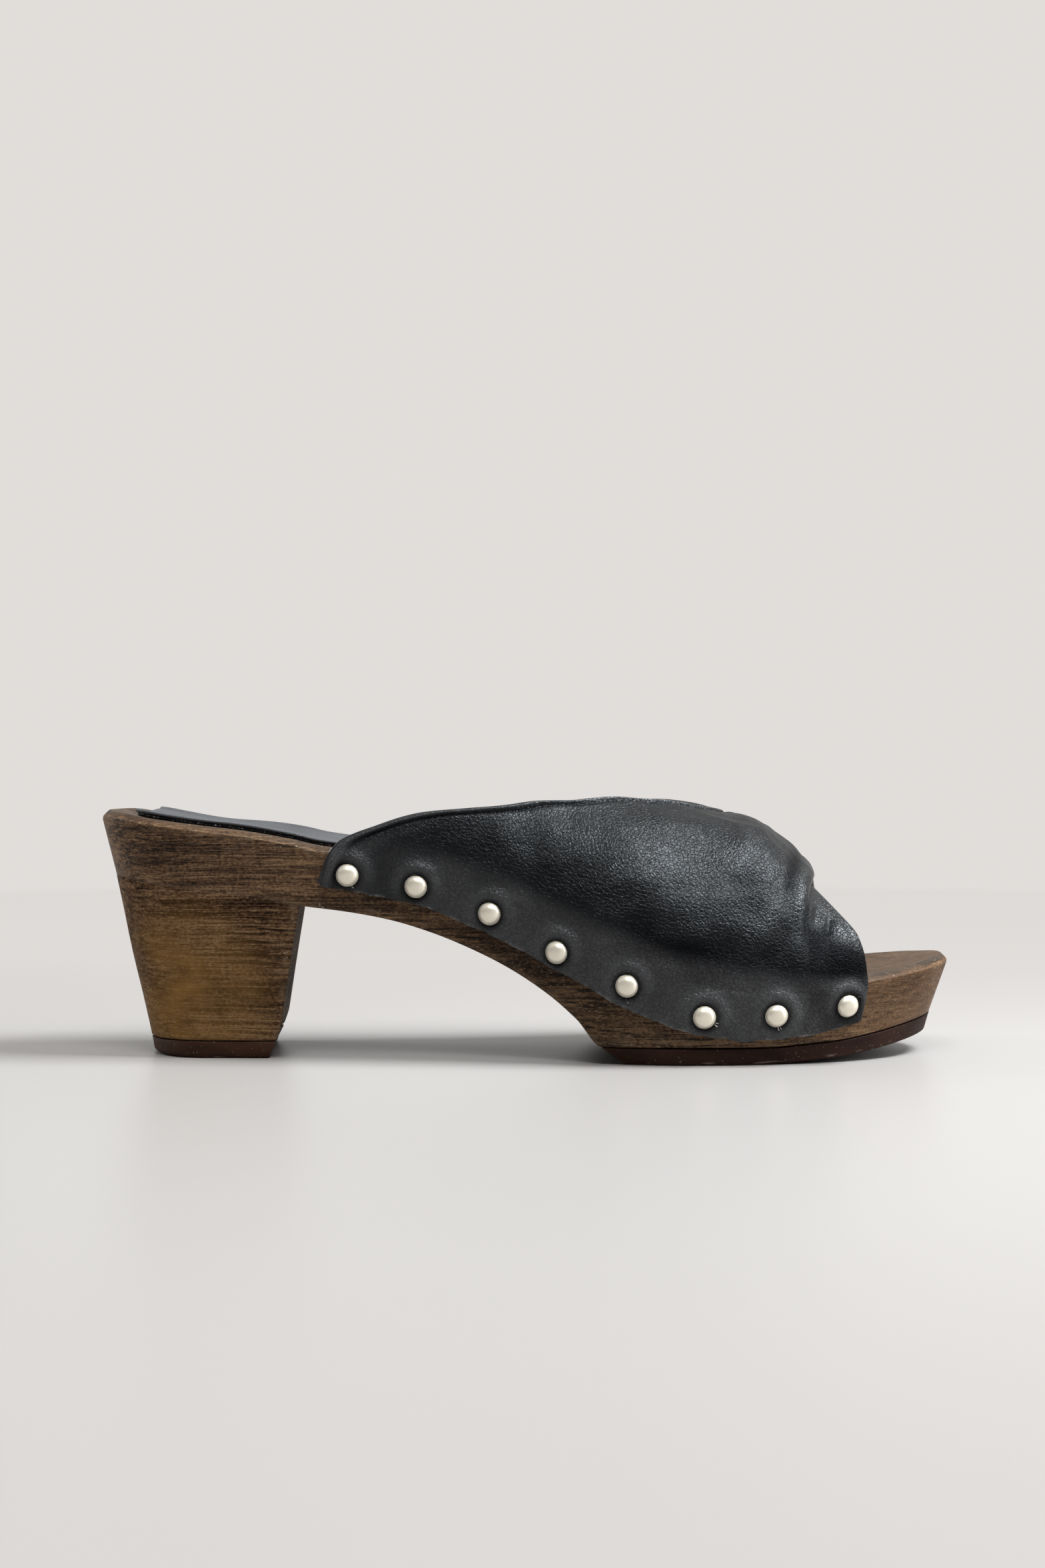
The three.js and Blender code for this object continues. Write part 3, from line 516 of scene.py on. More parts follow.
# Spots in the shoe's millimetres, with their radius: open pores, the golden patch, the scraped ball.
PORED_SPOT, GOLDEN_SPOT, SCRAPED_SPOT = ((50, -26, 38), 30), ((25, -26, 18), 31), ((171, -46, 19), 25)
DUST, FRAYED = (.25, .25, .25), (.30, .30, .30)
COOL_GLEAM = (.88, .95, 1.0)


def wood_look(name, shade, specular=.10):
    """Stained wood with its grain along the shoe, worn pale at its edges, with a painted highlight on the
    bevel and painted shade on the top. shade: stops along the shoe.
    """
    k = Look(name)
    drift = k.noise((7, 12, 12), 1)
    push = k.add("ShaderNodeCombineXYZ", {"Z": k.times(drift, .006), "Y": k.times(drift, .003)}).outputs[0]
    grain = k.vector("ADD", k.place, push).outputs[0]
    bands = k.noise((5, 90, 110), source=grain)
    lines = k.noise((14, 240, 1100), rough=.7, source=grain)
    fibres = k.noise((70, 900, 3600), rough=.7, source=grain)
    pores = k.noise((75, 300, 1300), 1, source=grain)
    grit = k.noise((1000, 1200, 1700), 3, .75)
    blotch = k.noise((26, 26, 44), 3, .55)
    weave = k.noise((420, 60, 90), rough=.6)
    layers = ((fibres, .36), (lines, .46), (bands, .22), (blotch, .24), (grit, .58), (weave, .06))
    place = k.span(k.axis(0), -LENGTH / 2000, LENGTH / 2000)
    # The pattern is weaker at the toe.
    calm = k.steps(place, (.80, 1.0), (.90, .42))
    tone = k.linear(k.weighted(layers), 1 / sum(weight for _, weight in layers), -.5)
    colour = k.steps(k.linear(tone, calm, .5), (.435, DARK_WOOD), (.50, MIDDLE_WOOD), (.575, PALE_WOOD))
    pored = k.steps(k.noise((9, 90, 110), 1, source=grain), (.42, .15), (.6, 1.0))
    pored = k.times(k.steps(pores, (.38, 1.0), (.46, 0.0)), k.sums("MAXIMUM", pored, k.near(*PORED_SPOT)))
    colour = k.blend(k.times(pored, k.times(calm, .85)), colour, tuple(v * .25 for v in DARK_WOOD))
    ragged = k.times(k.near(*GOLDEN_SPOT), k.steps(k.noise((60, 60, 90), 3), (.35, .35), (.6, 1.0)))
    colour = k.blend(k.times(ragged, .80), colour, GOLDEN_WOOD)
    colour = k.tinted(colour, k.times(k.steps(place, *shade), 2.0))
    scratch = k.rise(k.noise((16, 3000, 3000), 1, source=grain), .60, .70)
    scratch = k.times(scratch, k.rise(k.noise((30, 60, 60), 1), .45, .62))
    colour = k.blend(k.times(scratch, .5), colour, SCRATCH)
    turned = k.add("ShaderNodeMapping", {"Vector": k.place, "Rotation": (0, .55, 0)}).outputs[0]
    strokes = k.rise(k.noise((1500, 200, 260), source=turned), .54, .66)
    strokes = k.times(strokes, k.span(k.near(*SCRAPED_SPOT), 0, .45))
    colour = k.blend(k.times(strokes, .5), colour, STROKE)
    edge = k.mark("edge")
    chipped = k.times(edge, k.steps(k.noise((170, 420, 420), 3), (.45, .05), (.62, 1.0)))
    colour = k.blend(k.times(chipped, k.steps(place, (.75, .5), (.88, .15))), colour, CHIP)
    # Pale worn bevel, partly a painted highlight, lighter towards its upper edge; a tint darkens it at the
    # toe.
    rim = k.blend(k.rise(k.noise((60, 900, 900)), .4, .6), DARK_RIM, PALE_RIM_AND_HIGHLIGHT)
    rim = k.blend(k.rise(place, .7, .85), rim, k.tinted(rim, TOE_RIM_TINT))
    colour = k.blend(k.times(k.mark("rim"), k.steps(bands, (.35, .45), (.6, .95))), colour, rim)
    # Painted shade on the top, which the lamps above light most, blended with the footbed's greyer tone.
    colour = k.blend(k.times(k.mark("top"), .55), colour, FOOTBED_TONE_AND_SHADE)
    specks = k.rise(k.noise((1300, 1300, 1900), 1), .70, .75)
    colour = k.blend(k.times(specks, k.linear(edge, .6, .25)), colour, SPECK)
    normal = k.bump(lines, .00022, .6)
    normal = k.bump(fibres, .00012, .7, k.bump(grit, .00010, .6, normal))
    return k.finish(colour=k.tinted(colour, STAIN), rough=k.steps(blotch, (.3, .62), (.7, .5)),
                    normal=normal, specular=specular)


def leather_look(name, colour, grain, depth, rough, specular, dust=.1, pale=None):
    """Pebbled black leather: uneven cells with fine creases between them.

    pale: its tone where the floor's reflection and highlights are painted. With it, one mark says where that
    tone is painted, with shadow rings round the studs painted by taking it away, and another says where the
    specular level is raised and lowered to paint highlights and shade.
    """
    k = Look(name)
    sway = k.add("ShaderNodeTexNoise", {"Vector": k.place, "Scale": 420.0, "Detail": 1.0}).outputs["Color"]
    moved = k.vector("ADD", k.place, k.vector("MULTIPLY", sway, (.0007, .0007, .0007)).outputs[0]).outputs[0]
    pebble = k.cells(moved, grain, "SMOOTH_F1")
    crack = k.rise(k.cells(moved, grain * .62, "DISTANCE_TO_EDGE"), .0, .16)
    fine = k.noise(grain * 3.1)
    height = k.weighted(((fine, .35), (crack, .45), (pebble, -.9)))
    base = k.blend(k.rise(k.noise(55.0), .35, .7), colour, tuple(v * 1.7 for v in colour))
    if pale:
        # Painted reflection and highlights: a lighter tone on the tops of the pebbles, left out in shadow
        # rings round the studs.
        base = k.blend(k.times(k.mark("pale"), k.steps(height, (.0, .6), (.35, 1.0))), base, pale)
    base = k.blend(k.times(k.rise(k.noise(2300.0, 0), .80, .82), dust), base, DUST)
    frayed = k.times(k.mark("worn"), k.rise(k.noise(260.0), .48, .66))
    base = k.blend(k.times(frayed, k.steps(fine, (.45, 0.0), (.6, .7))), base, FRAYED)
    shine = k.steps(k.noise(90.0), (.3, rough[0]), (.7, rough[1]))
    if pale:
        # Painted highlights and shade: a mark raises and lowers the specular level and smoothness where they
        # fall.
        painted_sheen = k.mark("painted_sheen")
        shine = k.sums("ADD", shine, k.linear(painted_sheen, -.12, .06))
        specular = k.times(k.linear(painted_sheen, 1.5, .25), specular)
    return k.finish(colour=base, rough=shine, normal=k.bump(height, depth), specular=specular,
                    gleam=COOL_GLEAM)


def rubber_look(name, colour, light):
    """Dark rubber, cloudy, with pale dust and scuffs on its edges."""
    k = Look(name)
    cloud = k.noise((60, 60, 160), 3)
    base = k.blend(k.rise(cloud, .35, .7), colour, light)
    base = k.blend(k.times(k.rise(k.noise(1500.0, 1), .70, .76), .30), base, (.36, .28, .22))
    scuff = k.times(k.rise(k.noise((120, 400, 900)), .6, .72), k.mark("edge"))
    base = k.blend(k.times(scuff, .6), base, (.22, .17, .13))
    return k.finish(colour=base, rough=k.steps(cloud, (.3, .55), (.7, .7)),
                    normal=k.bump(k.noise(2200.0), .00012, .5), specular=.10)


def metal_look(name):
    """Nickel, brushed very finely and dulled a little."""
    k = Look(name)
    tone = k.blend(k.noise(300.0), (.74, .685, .57), (.79, .735, .625))
    return k.finish(colour=tone, metal=.5, rough=k.steps(k.noise(300.0, 1), (.3, .28), (.7, .33)),
                    normal=k.bump(k.noise(900.0, 1), .00001, .15), specular=.08)


def fibre_look(name, colour, specks):
    """Matted fibre, as on the cut edge of the sock."""
    k = Look(name)
    mat = k.noise((1400, 2600, 2600), 3, .7)
    plait = k.cells(k.scaled(1500, 1500, 1500), 1.0, "F1")
    white = k.rise(k.noise((1900, 1900, 1900)), .60, .70)
    return k.finish(colour=k.blend(k.times(white, specks), colour, (.42, .43, .45)),
                    rough=k.steps(mat, (.3, .7), (.7, .92)),
                    normal=k.bump(k.linear(plait, .8, mat), .0004, .9), specular=.3)


def lining_look(name):
    """Smooth black lining with a faint grain, dusty in places."""
    k = Look(name)
    cloud = k.noise(70.0, 3)
    return k.finish(colour=k.blend(k.rise(cloud, .35, .75), (.012, .012, .013), (.032, .032, .034)),
                    rough=k.steps(cloud, (.3, .45), (.7, .65)),
                    normal=k.bump(k.noise(2400.0), .00010, .6), specular=.35)


# How light the wood is along the shoe: place from heel to toe, and a grey where .5 leaves it as it is.
BOARD_SHADE = [(0, .62), (.1, .62), (.2, .61), (.33, .63), (.5, .32), (.62, .42), (.78, .52),
               (.87, (.78, .80, .56)), (1, (.82, .86, .58))]
HEEL_SHADE = [(0, .62), (.1, .61), (.2, .57), (.25, .53)]
WOOD = wood_look("stained_wood", BOARD_SHADE)
HEEL_WOOD = wood_look("stained_heel_wood", HEEL_SHADE, specular=.015)
# The leather's lighter tone is painted as the floor's reflection and as highlights.
LEATHER = leather_look("twisted_leather", (.0012, .0013, .0018), grain=1500, depth=.00015, rough=(.33, .41),
                       specular=.19, pale=(.050, .050, .051))
LINING = lining_look("upper_lining")
SOCK_LEATHER = leather_look("sock_leather", (.036, .037, .040), grain=2300, depth=.00009, rough=(.40, .52),
                            specular=.5, dust=.5)
SOCK_FIBRE = fibre_look("sock_fibre", (.006, .006, .0065), .55)
LIFT_RUBBER = rubber_look("lift_rubber", (.022, .0092, .0046), (.045, .0205, .0115))
OUTSOLE_RUBBER = rubber_look("outsole_rubber", (.0130, .0050, .0030), (.031, .0135, .0085))
NICKEL = metal_look("polished_nickel")
DARK_WIRE = rubber_look("dark_wire", (.02, .02, .021), (.05, .05, .052))
PALE_FIBRE = fibre_look("pale_fibre", (.36, .35, .33), .9)


# Board, heel and rubber
BOARD_RINGS, OUTSOLE_RINGS = 330, 200
HEEL_SIDES, FACE_CUTS, LOOP_POINTS = 54, 26, 360


def board():
    """The board in rings across it, hollow on top, with worn edges that are rounder at heel and toe."""
    shares = even_shares(BOARD_RINGS)
    inset_x = mix(BEVEL, LENGTH - BEVEL, shares)
    middle = TIP_OFFSET * smooth((shares - .6) / .4)
    left, right = (drawn_in(outline_y(sign, shares), middle, BEVEL) for sign in (-1, 1))
    top = [np.stack([inset_x, y, top_height(inset_x)], -1) for y in (left, right)]
    corners = np.stack([wall_point(-1, shares, 1.0), wall_point(-1, shares, 0.0), top[0], top[1],
                        wall_point(1, shares, 0.0), wall_point(1, shares, 1.0)], 1)
    wear = waves(corners[:, 1], 22, 3)
    low = mix(.12, .8 + .2 * wear, smooth((shares * LENGTH - HEEL_BREAST) / 8))
    ends = smooth((7 - shares * LENGTH) / 5) + smooth((shares * LENGTH - LENGTH + 10) / 6)
    sharp = .4 + .15 * wear + .8 * ends
    rings, place = rounded(corners, [low, sharp, sharp + .1, sharp + .1, sharp, low], [9, 3, 30, 3, 9, 14])
    width = (right - left)[:, None]
    across = np.clip(2 * (rings[..., 1] - left[:, None]) / np.maximum(width, 1e-6) - 1, -1, 1)
    on_top = (place >= 2) & (place <= 3)
    hollow = dish(shares[:, None], across) * np.minimum(width / HEEL_WIDTH, 1)
    rings[..., 2] -= np.where(on_top, hollow, 0)
    rings[..., 2] += np.where(on_top, .12 * waves(rings, 30, 5), 0)
    up_bevel = np.where(place <= 2, place - 1, 4 - place)
    on_bevel = (place >= 1) & (place <= 2) | (place >= 3) & (place <= 4)
    edge = np.where(place == np.round(place), 1.0, 0.0)
    from_back = rings[..., 0] - rings[..., 0].min(0)
    # The bevel's mark: its worn tone and a painted highlight, strongest towards its upper edge.
    marks = {"rim": np.tile(np.where(on_bevel, smooth(.25 + up_bevel), 0.0), BOARD_RINGS),
             "edge": np.maximum(edge, bell(from_back, 3.0)).ravel(),
             # The top's mark: painted shade, with the footbed's greyer tone.
             "top": np.tile(np.where(on_top, 1.0, 0.0), BOARD_RINGS)}
    rings_piece("carved_board", rings, WOOD, ["sole_board"], marks)


def flat(z):
    return lambda x: z + 0 * x


def heel_loops(levels, corner=1.1):
    """Rings round the heel. Each level: share of the way down, height from x, back inset, front inset."""
    joint = HEEL_BREAST / LENGTH
    around = np.sin(np.linspace(0, 1, HEEL_SIDES) * np.pi / 2) ** 1.9 * joint
    rings = []
    for depth, height, back_inset, front_inset in levels:
        back = mix(BACK_RAKE, BASE_BACK, depth) + back_inset
        front = mix(HEEL_BREAST, BASE_FRONT, depth) - front_inset
        narrow = mix(1, BASE_WIDTH / (HEEL_WIDTH - 2 * SIDE_RAKE), depth)
        halves = []
        for sign in (-1, 1):
            p = wall_point(sign, around, 1.0)
            far = wall_point(sign, np.array(joint), 1.0)[0]
            along = (p[:, 0] - BACK_RAKE) / (far - BACK_RAKE)
            skew = BREAST_SKEW * along ** 4 if sign > 0 else 0
            y = p[:, 1] * narrow - np.sign(p[:, 1]) * np.minimum(back_inset * .5, np.abs(p[:, 1]))
            halves.append(np.stack([mix(back, front, along) - skew, y, 0 * along], -1))
        outer, within = halves[0][::-1], halves[1][1:]
        t = np.linspace(0, 1, FACE_CUTS)[1:-1, None]
        face = mix(within[-1], outer[0], t)
        face[:, 0] -= BREAST_HOLLOW * np.sin(np.pi * t[:, 0])
        ring = np.concatenate([outer, within, face, outer[:1]])
        path = path_length(ring)
        ring = resampled(ring, np.linspace(0, path[-1], LOOP_POINTS + 1)[:-1])
        # A soft kernel along the loop rounds its upright corners.
        kernel = bell(np.arange(-6, 7) * path[-1] / LOOP_POINTS, corner * .55 * math.sqrt(2))
        kernel /= kernel.sum()
        wrapped = np.vstack([ring[-6:], ring, ring[:6]])
        ring = np.stack([np.convolve(wrapped[:, i], kernel, mode="valid") for i in range(3)], -1)
        ring[:, 2] = height(ring[:, 0])
        rings.append(ring)
    return np.array(rings)


def heel_block():
    """The block, slightly uneven by hand, with worn edges all round and along its back."""
    foot = LIFT_THICKNESS + GAP
    board_under = SEAT_HEIGHT - SEAT_THICKNESS

    def under(x):
        return under_height(x) - GAP

    def down(t):
        return lambda x: mix(under(x), foot + 0 * x, t)
    cut = BREAST_CHAMFER / (board_under - foot)
    levels = [(0, lambda x: under(x) + .27, .12, .12), (0, lambda x: under(x) + .2, .02, .02),
              (.002, under, 0, 0)]
    for t in np.linspace(.03, 1 - cut, 26):
        levels.append((t, down(t) if t < 1 - cut else flat(foot + BREAST_CHAMFER), 0, 0))
    for t in np.linspace(.25, .9, 4):
        levels.append((1 - cut * (1 - t), flat(foot + BREAST_CHAMFER * (1 - t)), 0, .8 * t))
    levels += [(1, flat(foot + .15), .1, .9), (1, flat(foot), .4, 1.2)]
    rings = heel_loops(levels)
    outward = unit(rings - rings.mean(1, keepdims=True)) * [1, 1, 0]
    rings += outward * (.16 * waves(rings, 26, 11))[..., None]
    rows = len(rings)
    level = np.arange(rows)[:, None]
    x, y, height = rings[..., 0], rings[..., 1], rings[..., 2]
    front = mix(HEEL_BREAST, BASE_FRONT, (board_under - height) / (board_under - foot))
    upright = bell(x - front + .8, 1.1) * (np.abs(y) > 18)
    edge = np.maximum(np.where((level < 2) | (level > rows - 3), 1.0, 0.0), upright)
    edge = np.maximum(edge, bell(x - x.min(1, keepdims=True), 3.4))
    rings_piece("carved_heel", rings, HEEL_WOOD, ["heel_block"], {"edge": edge.ravel()},
                caps=(0, rows - 1))


def heel_lift():
    top, step = LIFT_THICKNESS, LIFT_BACK_BEVEL / 2
    levels = [(1, flat(top), .5, 1.3), (1, flat(top - .12), .2, 1.0), (1, flat(top - .4), .1, .95),
              (1, flat(mix(top, step, .5)), .4, 1.7), (1, flat(step + .5), .6, 2.45),
              (1, flat(step), .75, LIFT_FRONT_RAKE), (1, flat(step * .55), 1.3, LIFT_FRONT_RAKE + .1),
              (1, flat(.12), 2.0, LIFT_FRONT_RAKE + .3),
              (1, flat(0), LIFT_BACK_BEVEL + .3, LIFT_FRONT_RAKE + .7)]
    rings = heel_loops(levels, corner=.8)
    edge = np.repeat(np.where(np.arange(len(levels)) > 5, 1.0, 0.0), LOOP_POINTS)
    rings_piece("rubber_lift", rings, LIFT_RUBBER, ["heel_lift"], {"edge": edge},
                caps=(0, len(levels) - 1))


def outsole():
    start = (OUTSOLE_START - BACK_RAKE) / (LENGTH - TOE_RAKE - BACK_RAKE)
    shares = even_shares(OUTSOLE_RINGS, start, 1.0)
    t = (shares - start) / (1 - start)
    outer, inner = wall_point(-1, shares, 1.0), wall_point(1, shares, 1.0)
    rake = OUTSOLE_START_RAKE * (1 - t) ** 3 - 1.4 * t ** 6
    lip = np.minimum(.5, (inner[:, 1] - outer[:, 1]) / 4)

    def low(p, sign):
        return np.stack([p[:, 0] + rake, p[:, 1] - sign * lip, spring_height(p[:, 0] + rake)], -1)

    def high(p):
        return np.stack([p[:, 0], p[:, 1], spring_height(p[:, 0]) + OUTSOLE_THICKNESS], -1)
    corners = np.stack([low(outer, -1), high(outer), high(inner), low(inner, 1)], 1)
    rings, place = rounded(corners, [.8, .35, .35, .8], [5, 12, 5, 12])
    edge = np.where(np.isin(place, (0, 3)), 1.0, 0.0)
    rings_piece("rubber_outsole", rings, OUTSOLE_RUBBER, ["forefoot_outsole"],
                {"edge": np.tile(edge, OUTSOLE_RINGS)}, caps=(0,))


# Sock
SOCK_RINGS, SOCK_COLUMNS = 260, 44
SOCK_LIP = [(1.1, .32, 1.0), (3.6, -.22, 1.6)]  # from its edge inwards: place, height, width


def sock_layer(name, look, low, high, inset, fuzz, hard, nodes=()):
    """One layer of the sock between two heights over the footbed, with a rounded edge all round."""
    t = np.linspace(0, 1, SOCK_RINGS)
    t = mix(t, (1 - np.cos(np.pi * t)) / 2, .8)
    start, stop = SOCK_BACK + inset, SOCK_BACK + SOCK_LENGTH - inset
    x = mix(start, stop, t)
    ends = np.clip(np.minimum((x - start) / SOCK_CORNER, (stop - x) / SOCK_CORNER), 0, 1)
    cap = mix(.9, 1, (1 - (1 - ends) ** 3) ** (1 / 3))
    sides = [(outline_y(s, x / LENGTH) - s * (SOCK_INSET + inset)) * cap for s in (-1, 1)]
    height = (high - low) / 2
    u = np.linspace(0, 1, SOCK_COLUMNS)
    bend = np.linspace(0, np.pi, 7)[1:-1]
    # Each point of a ring: its place across, 1 on top and -1 underneath, and how far past the side.
    around = [(a, 1.0, 0.0) for a in u] + [(1.0, math.cos(b), math.sin(b)) for b in bend]
    around += [(a, -1.0, 0.0) for a in u[::-1]] + [(0.0, -math.cos(b), -math.sin(b)) for b in bend]
    across, level, beyond = np.array(around).T
    y = mix(sides[0][:, None], sides[1][:, None], across) + beyond * height
    askew = x[:, None] + SOCK_SKEW * (2 * across - 1) * (1 - t[:, None])
    z = footbed_height(askew, y) + GAP + low + height * (1 + level)
    rings = np.stack([askew, y, z], -1)
    if fuzz:
        at_side = np.abs(2 * across - 1) > .97
        rough = waves(rings, 1.5, 21, 40) + .7 * waves(rings, 4, 22)
        rings[..., 1] += fuzz * rough * at_side * np.sign(across - .5)
        rings[..., 2] += fuzz * .5 * waves(rings, 1.8, 23, 40) * at_side
    else:
        from_side = (1 - np.abs(2 * across - 1)) * (sides[1] - sides[0])[:, None] / 2
        lip = np.where(level >= 0, ripples(from_side, SOCK_LIP), 0)
        rings[..., 2] += lip + .22 * waves(rings, 34, 31) * smooth(from_side / 6)
        rings[..., 2] += .55 * bell(rings[..., 0] - 50, 14) * smooth((rings[..., 1] - 14) / 10)
    rings_piece(name, rings, look, nodes, caps=(0, SOCK_RINGS - 1), hard=hard)


def sock():
    """Leather on a layer of fibre that shows at its cut edge."""
    sock_layer("sock_fibre_edge", SOCK_FIBRE, 0.0, .95, .55, .16, math.radians(80))
    sock_layer("sock_top", SOCK_LEATHER, .97, SOCK_THICKNESS + .12, 0.0, 0.0, math.radians(60), ["sock"])


# Upper
LEATHER_WALL = 1.15
LINING_WALL = .75
SKIRT_ROWS, BAND_ROWS = 20, 200
LEATHER_COLUMNS, LINING_COLUMNS = 168, 120
SOFTENED = 14  # rounds of smoothing where the skirt meets the instep
FOLD_LENGTH = 3.2  # run of a fold's rounded nose, for a nose of 1

# Creases and ridges on the outer side: places along the shoe and heights in millimetres, depth
# (troughs are negative) and width. Each fades at both ends.
CREASES = [
    ([(203.5, 50.5), (199, 46.3), (194.5, 41), (189.5, 36), (183, 31)], .50, 3.2),
    ([(205, 44.5), (201, 39), (196, 33.5), (189, 28)], -.40, 3.4),
    ([(211, 34), (216, 34.5), (221.5, 34)], .35, 3.4),
    ([(208.8, 44), (208.1, 41.6), (207.3, 39)], -.45, .9),
    ([(211.2, 42.2), (210.5, 40), (209.8, 38)], .45, 1.0),
    ([(212.7, 41.5), (211.9, 38.8), (210.8, 35.5)], -.70, 1.1),
    ([(215.2, 41.5), (214.7, 39), (214, 36.8)], .50, 2.1),
    ([(222.0, 42.5), (221.0, 38.5), (219.6, 35)], .40, 2.4),
    ([(196, 65), (193, 61), (188.5, 54), (183, 47)], -.30, 4.0),
    ([(192, 67), (188, 61), (182, 53)], .40, 4.5),
    ([(168, 62), (158, 54), (146, 47)], .35, 7.0),
    ([(150, 42), (166, 34), (186, 27.5)], -.5, 6.0),
    ([(128, 60), (117, 55), (104, 54)], .3, 6.0),
]
# The same on the inner side, where the photograph doesn't show it: the twist turned half round.
INNER_CREASES = [
    ([(188, 67), (190, 60.5), (196, 49), (203, 39)], -.55, 3.2),
    ([(186, 64), (197, 53), (208, 42), (216, 33)], .7, 4.0),
    ([(187, 58), (184, 49), (178, 40)], -.8, 1.6),
    ([(190, 57), (188, 48.5), (183, 39)], .6, 1.8),
    ([(204, 58), (211, 50), (216, 42)], .5, 3.0),
    ([(180, 56), (168, 50), (154, 46)], .45, 5.0),
    ([(176, 36), (162, 34), (146, 35)], -.4, 5.5),
]
# Rise and fall of the knot's crown along the shoe: place in millimetres, and how far out.
CROWN = np.array([(180, 0), (188, -.3), (193.5, -.7), (195.4, -.5), (197.2, .5), (198.8, .85), (200.6, .6),
                  (202.5, .15), (205.5, -.3), (207.3, -.45), (209, -.1), (210.6, .35), (213, 0)], float)
crown = through(CROWN)
# Ripples, each with its place, height and width in millimetres: behind the edge of the crossing layer,
# in from the collar's edge, and round each stud, with those that only show above it. The shine tables
# paint highlights and shade by raising and lowering the leather's specular level, not its shape.
LIP, LIP_PAINTED_SHEEN = [(2.2, .55, 1.2), (5.2, -.85, 1.9), (11, .3, 3.5)], [(2.6, .5, 1.4), (-.6, -.9, 1.1)]
BEAD, BEAD_PAINTED_SHEEN = [(1.1, .55, .95), (3.0, -.40, .9)], [(1.0, .6, 1.0), (3.1, -.45, .9), (6, .15, 2.5)]
STUD_PULL, STUD_PULL_ABOVE = [(5.4, .16, 1.9), (0, -.45, 3.6)], [(5.4, .46, 1.9), (9.4, -.22, 3.0)]
STUD_PAINTED_SHEEN, STUD_PAINTED_SHEEN_ABOVE = [(6.0, .2, 1.7), (3.6, -.5, 1.0)], [(6.0, .6, 1.7)]
stud_at, stud_drop = np.array(STUDS).T
stud_centres = {sign: skirt_point(sign, stud_at, stud_drop * SKIRT) for sign in (-1, 1)}


def band_rows():
    """Rows round the foot from the outer cut edge to the inner: side, place up the skirt, place across."""
    angle = np.linspace(0, np.pi / 2, 2001)
    section = np.stack([np.sin(angle) ** (2 / ARCH_POWER), 1.2 * np.cos(angle) ** (2 / ARCH_POWER)], -1)
    path = path_length(section)
    half = np.interp(np.linspace(0, path[-1], BAND_ROWS // 2 + 1), path, angle) / (np.pi / 2)
    across = np.concatenate([-half[::-1], half[1:]])
    up = np.linspace(0, 1, SKIRT_ROWS + 1)[:-1]
    rows = ([(-1, u, -1.0) for u in up] + [(-1 if a < 0 else 1, 1.0, a) for a in across]
            + [(1, u, 1.0) for u in up[::-1]])
    return np.array(rows).T


def fold_shape(d, height, nose):
    """Profile of a fold against distance from where it meets the lower layer: how far along, how proud."""
    run = FOLD_LENGTH * nose
    top = height * smooth(1 + (d + run) / 30)
    q = np.clip((d + run) / run, 0, 1) * np.pi / 2
    proud = np.where(d < -run, top, np.where(d < 0, height * np.cos(q) ** .85, 0))
    along = np.where(d < -run, d, -run + run * np.sin(q) * 1.08)
    after = np.clip(d, 0, None)
    swell = .16 * height * (after / 4) * np.exp(1 - after / 4)
    beyond = d - 1.9 * (height / KNOT_HEIGHT) * np.exp(-after / 2.2)
    return np.where(d < 0, along, beyond), np.where(d < 0, proud, swell)


def column_shares(back, toe, front, rear, turn, columns):
    """Places along one row, closer together at the folds and at both free edges."""
    fine = np.linspace(0, 1, 801)
    s = mix(back, toe, fine)
    from_back, from_toe = fine * (toe - back) * LENGTH, (1 - fine) * (toe - back) * LENGTH
    density = 1 + 3.2 * bell((s - front) * LENGTH + .5, 4.5) * max(front_proud(turn), .15)
    density += 2.2 * bell((s - rear) * LENGTH - .5, 4) * rear_proud(turn)
    density += 1.2 * bell(from_back, 3) + 1.2 * bell(from_toe, 3)
    total = np.concatenate([[0], np.cumsum((density[1:] + density[:-1]) / 2)])
    return np.interp(np.linspace(0, total[-1], columns), total, s)


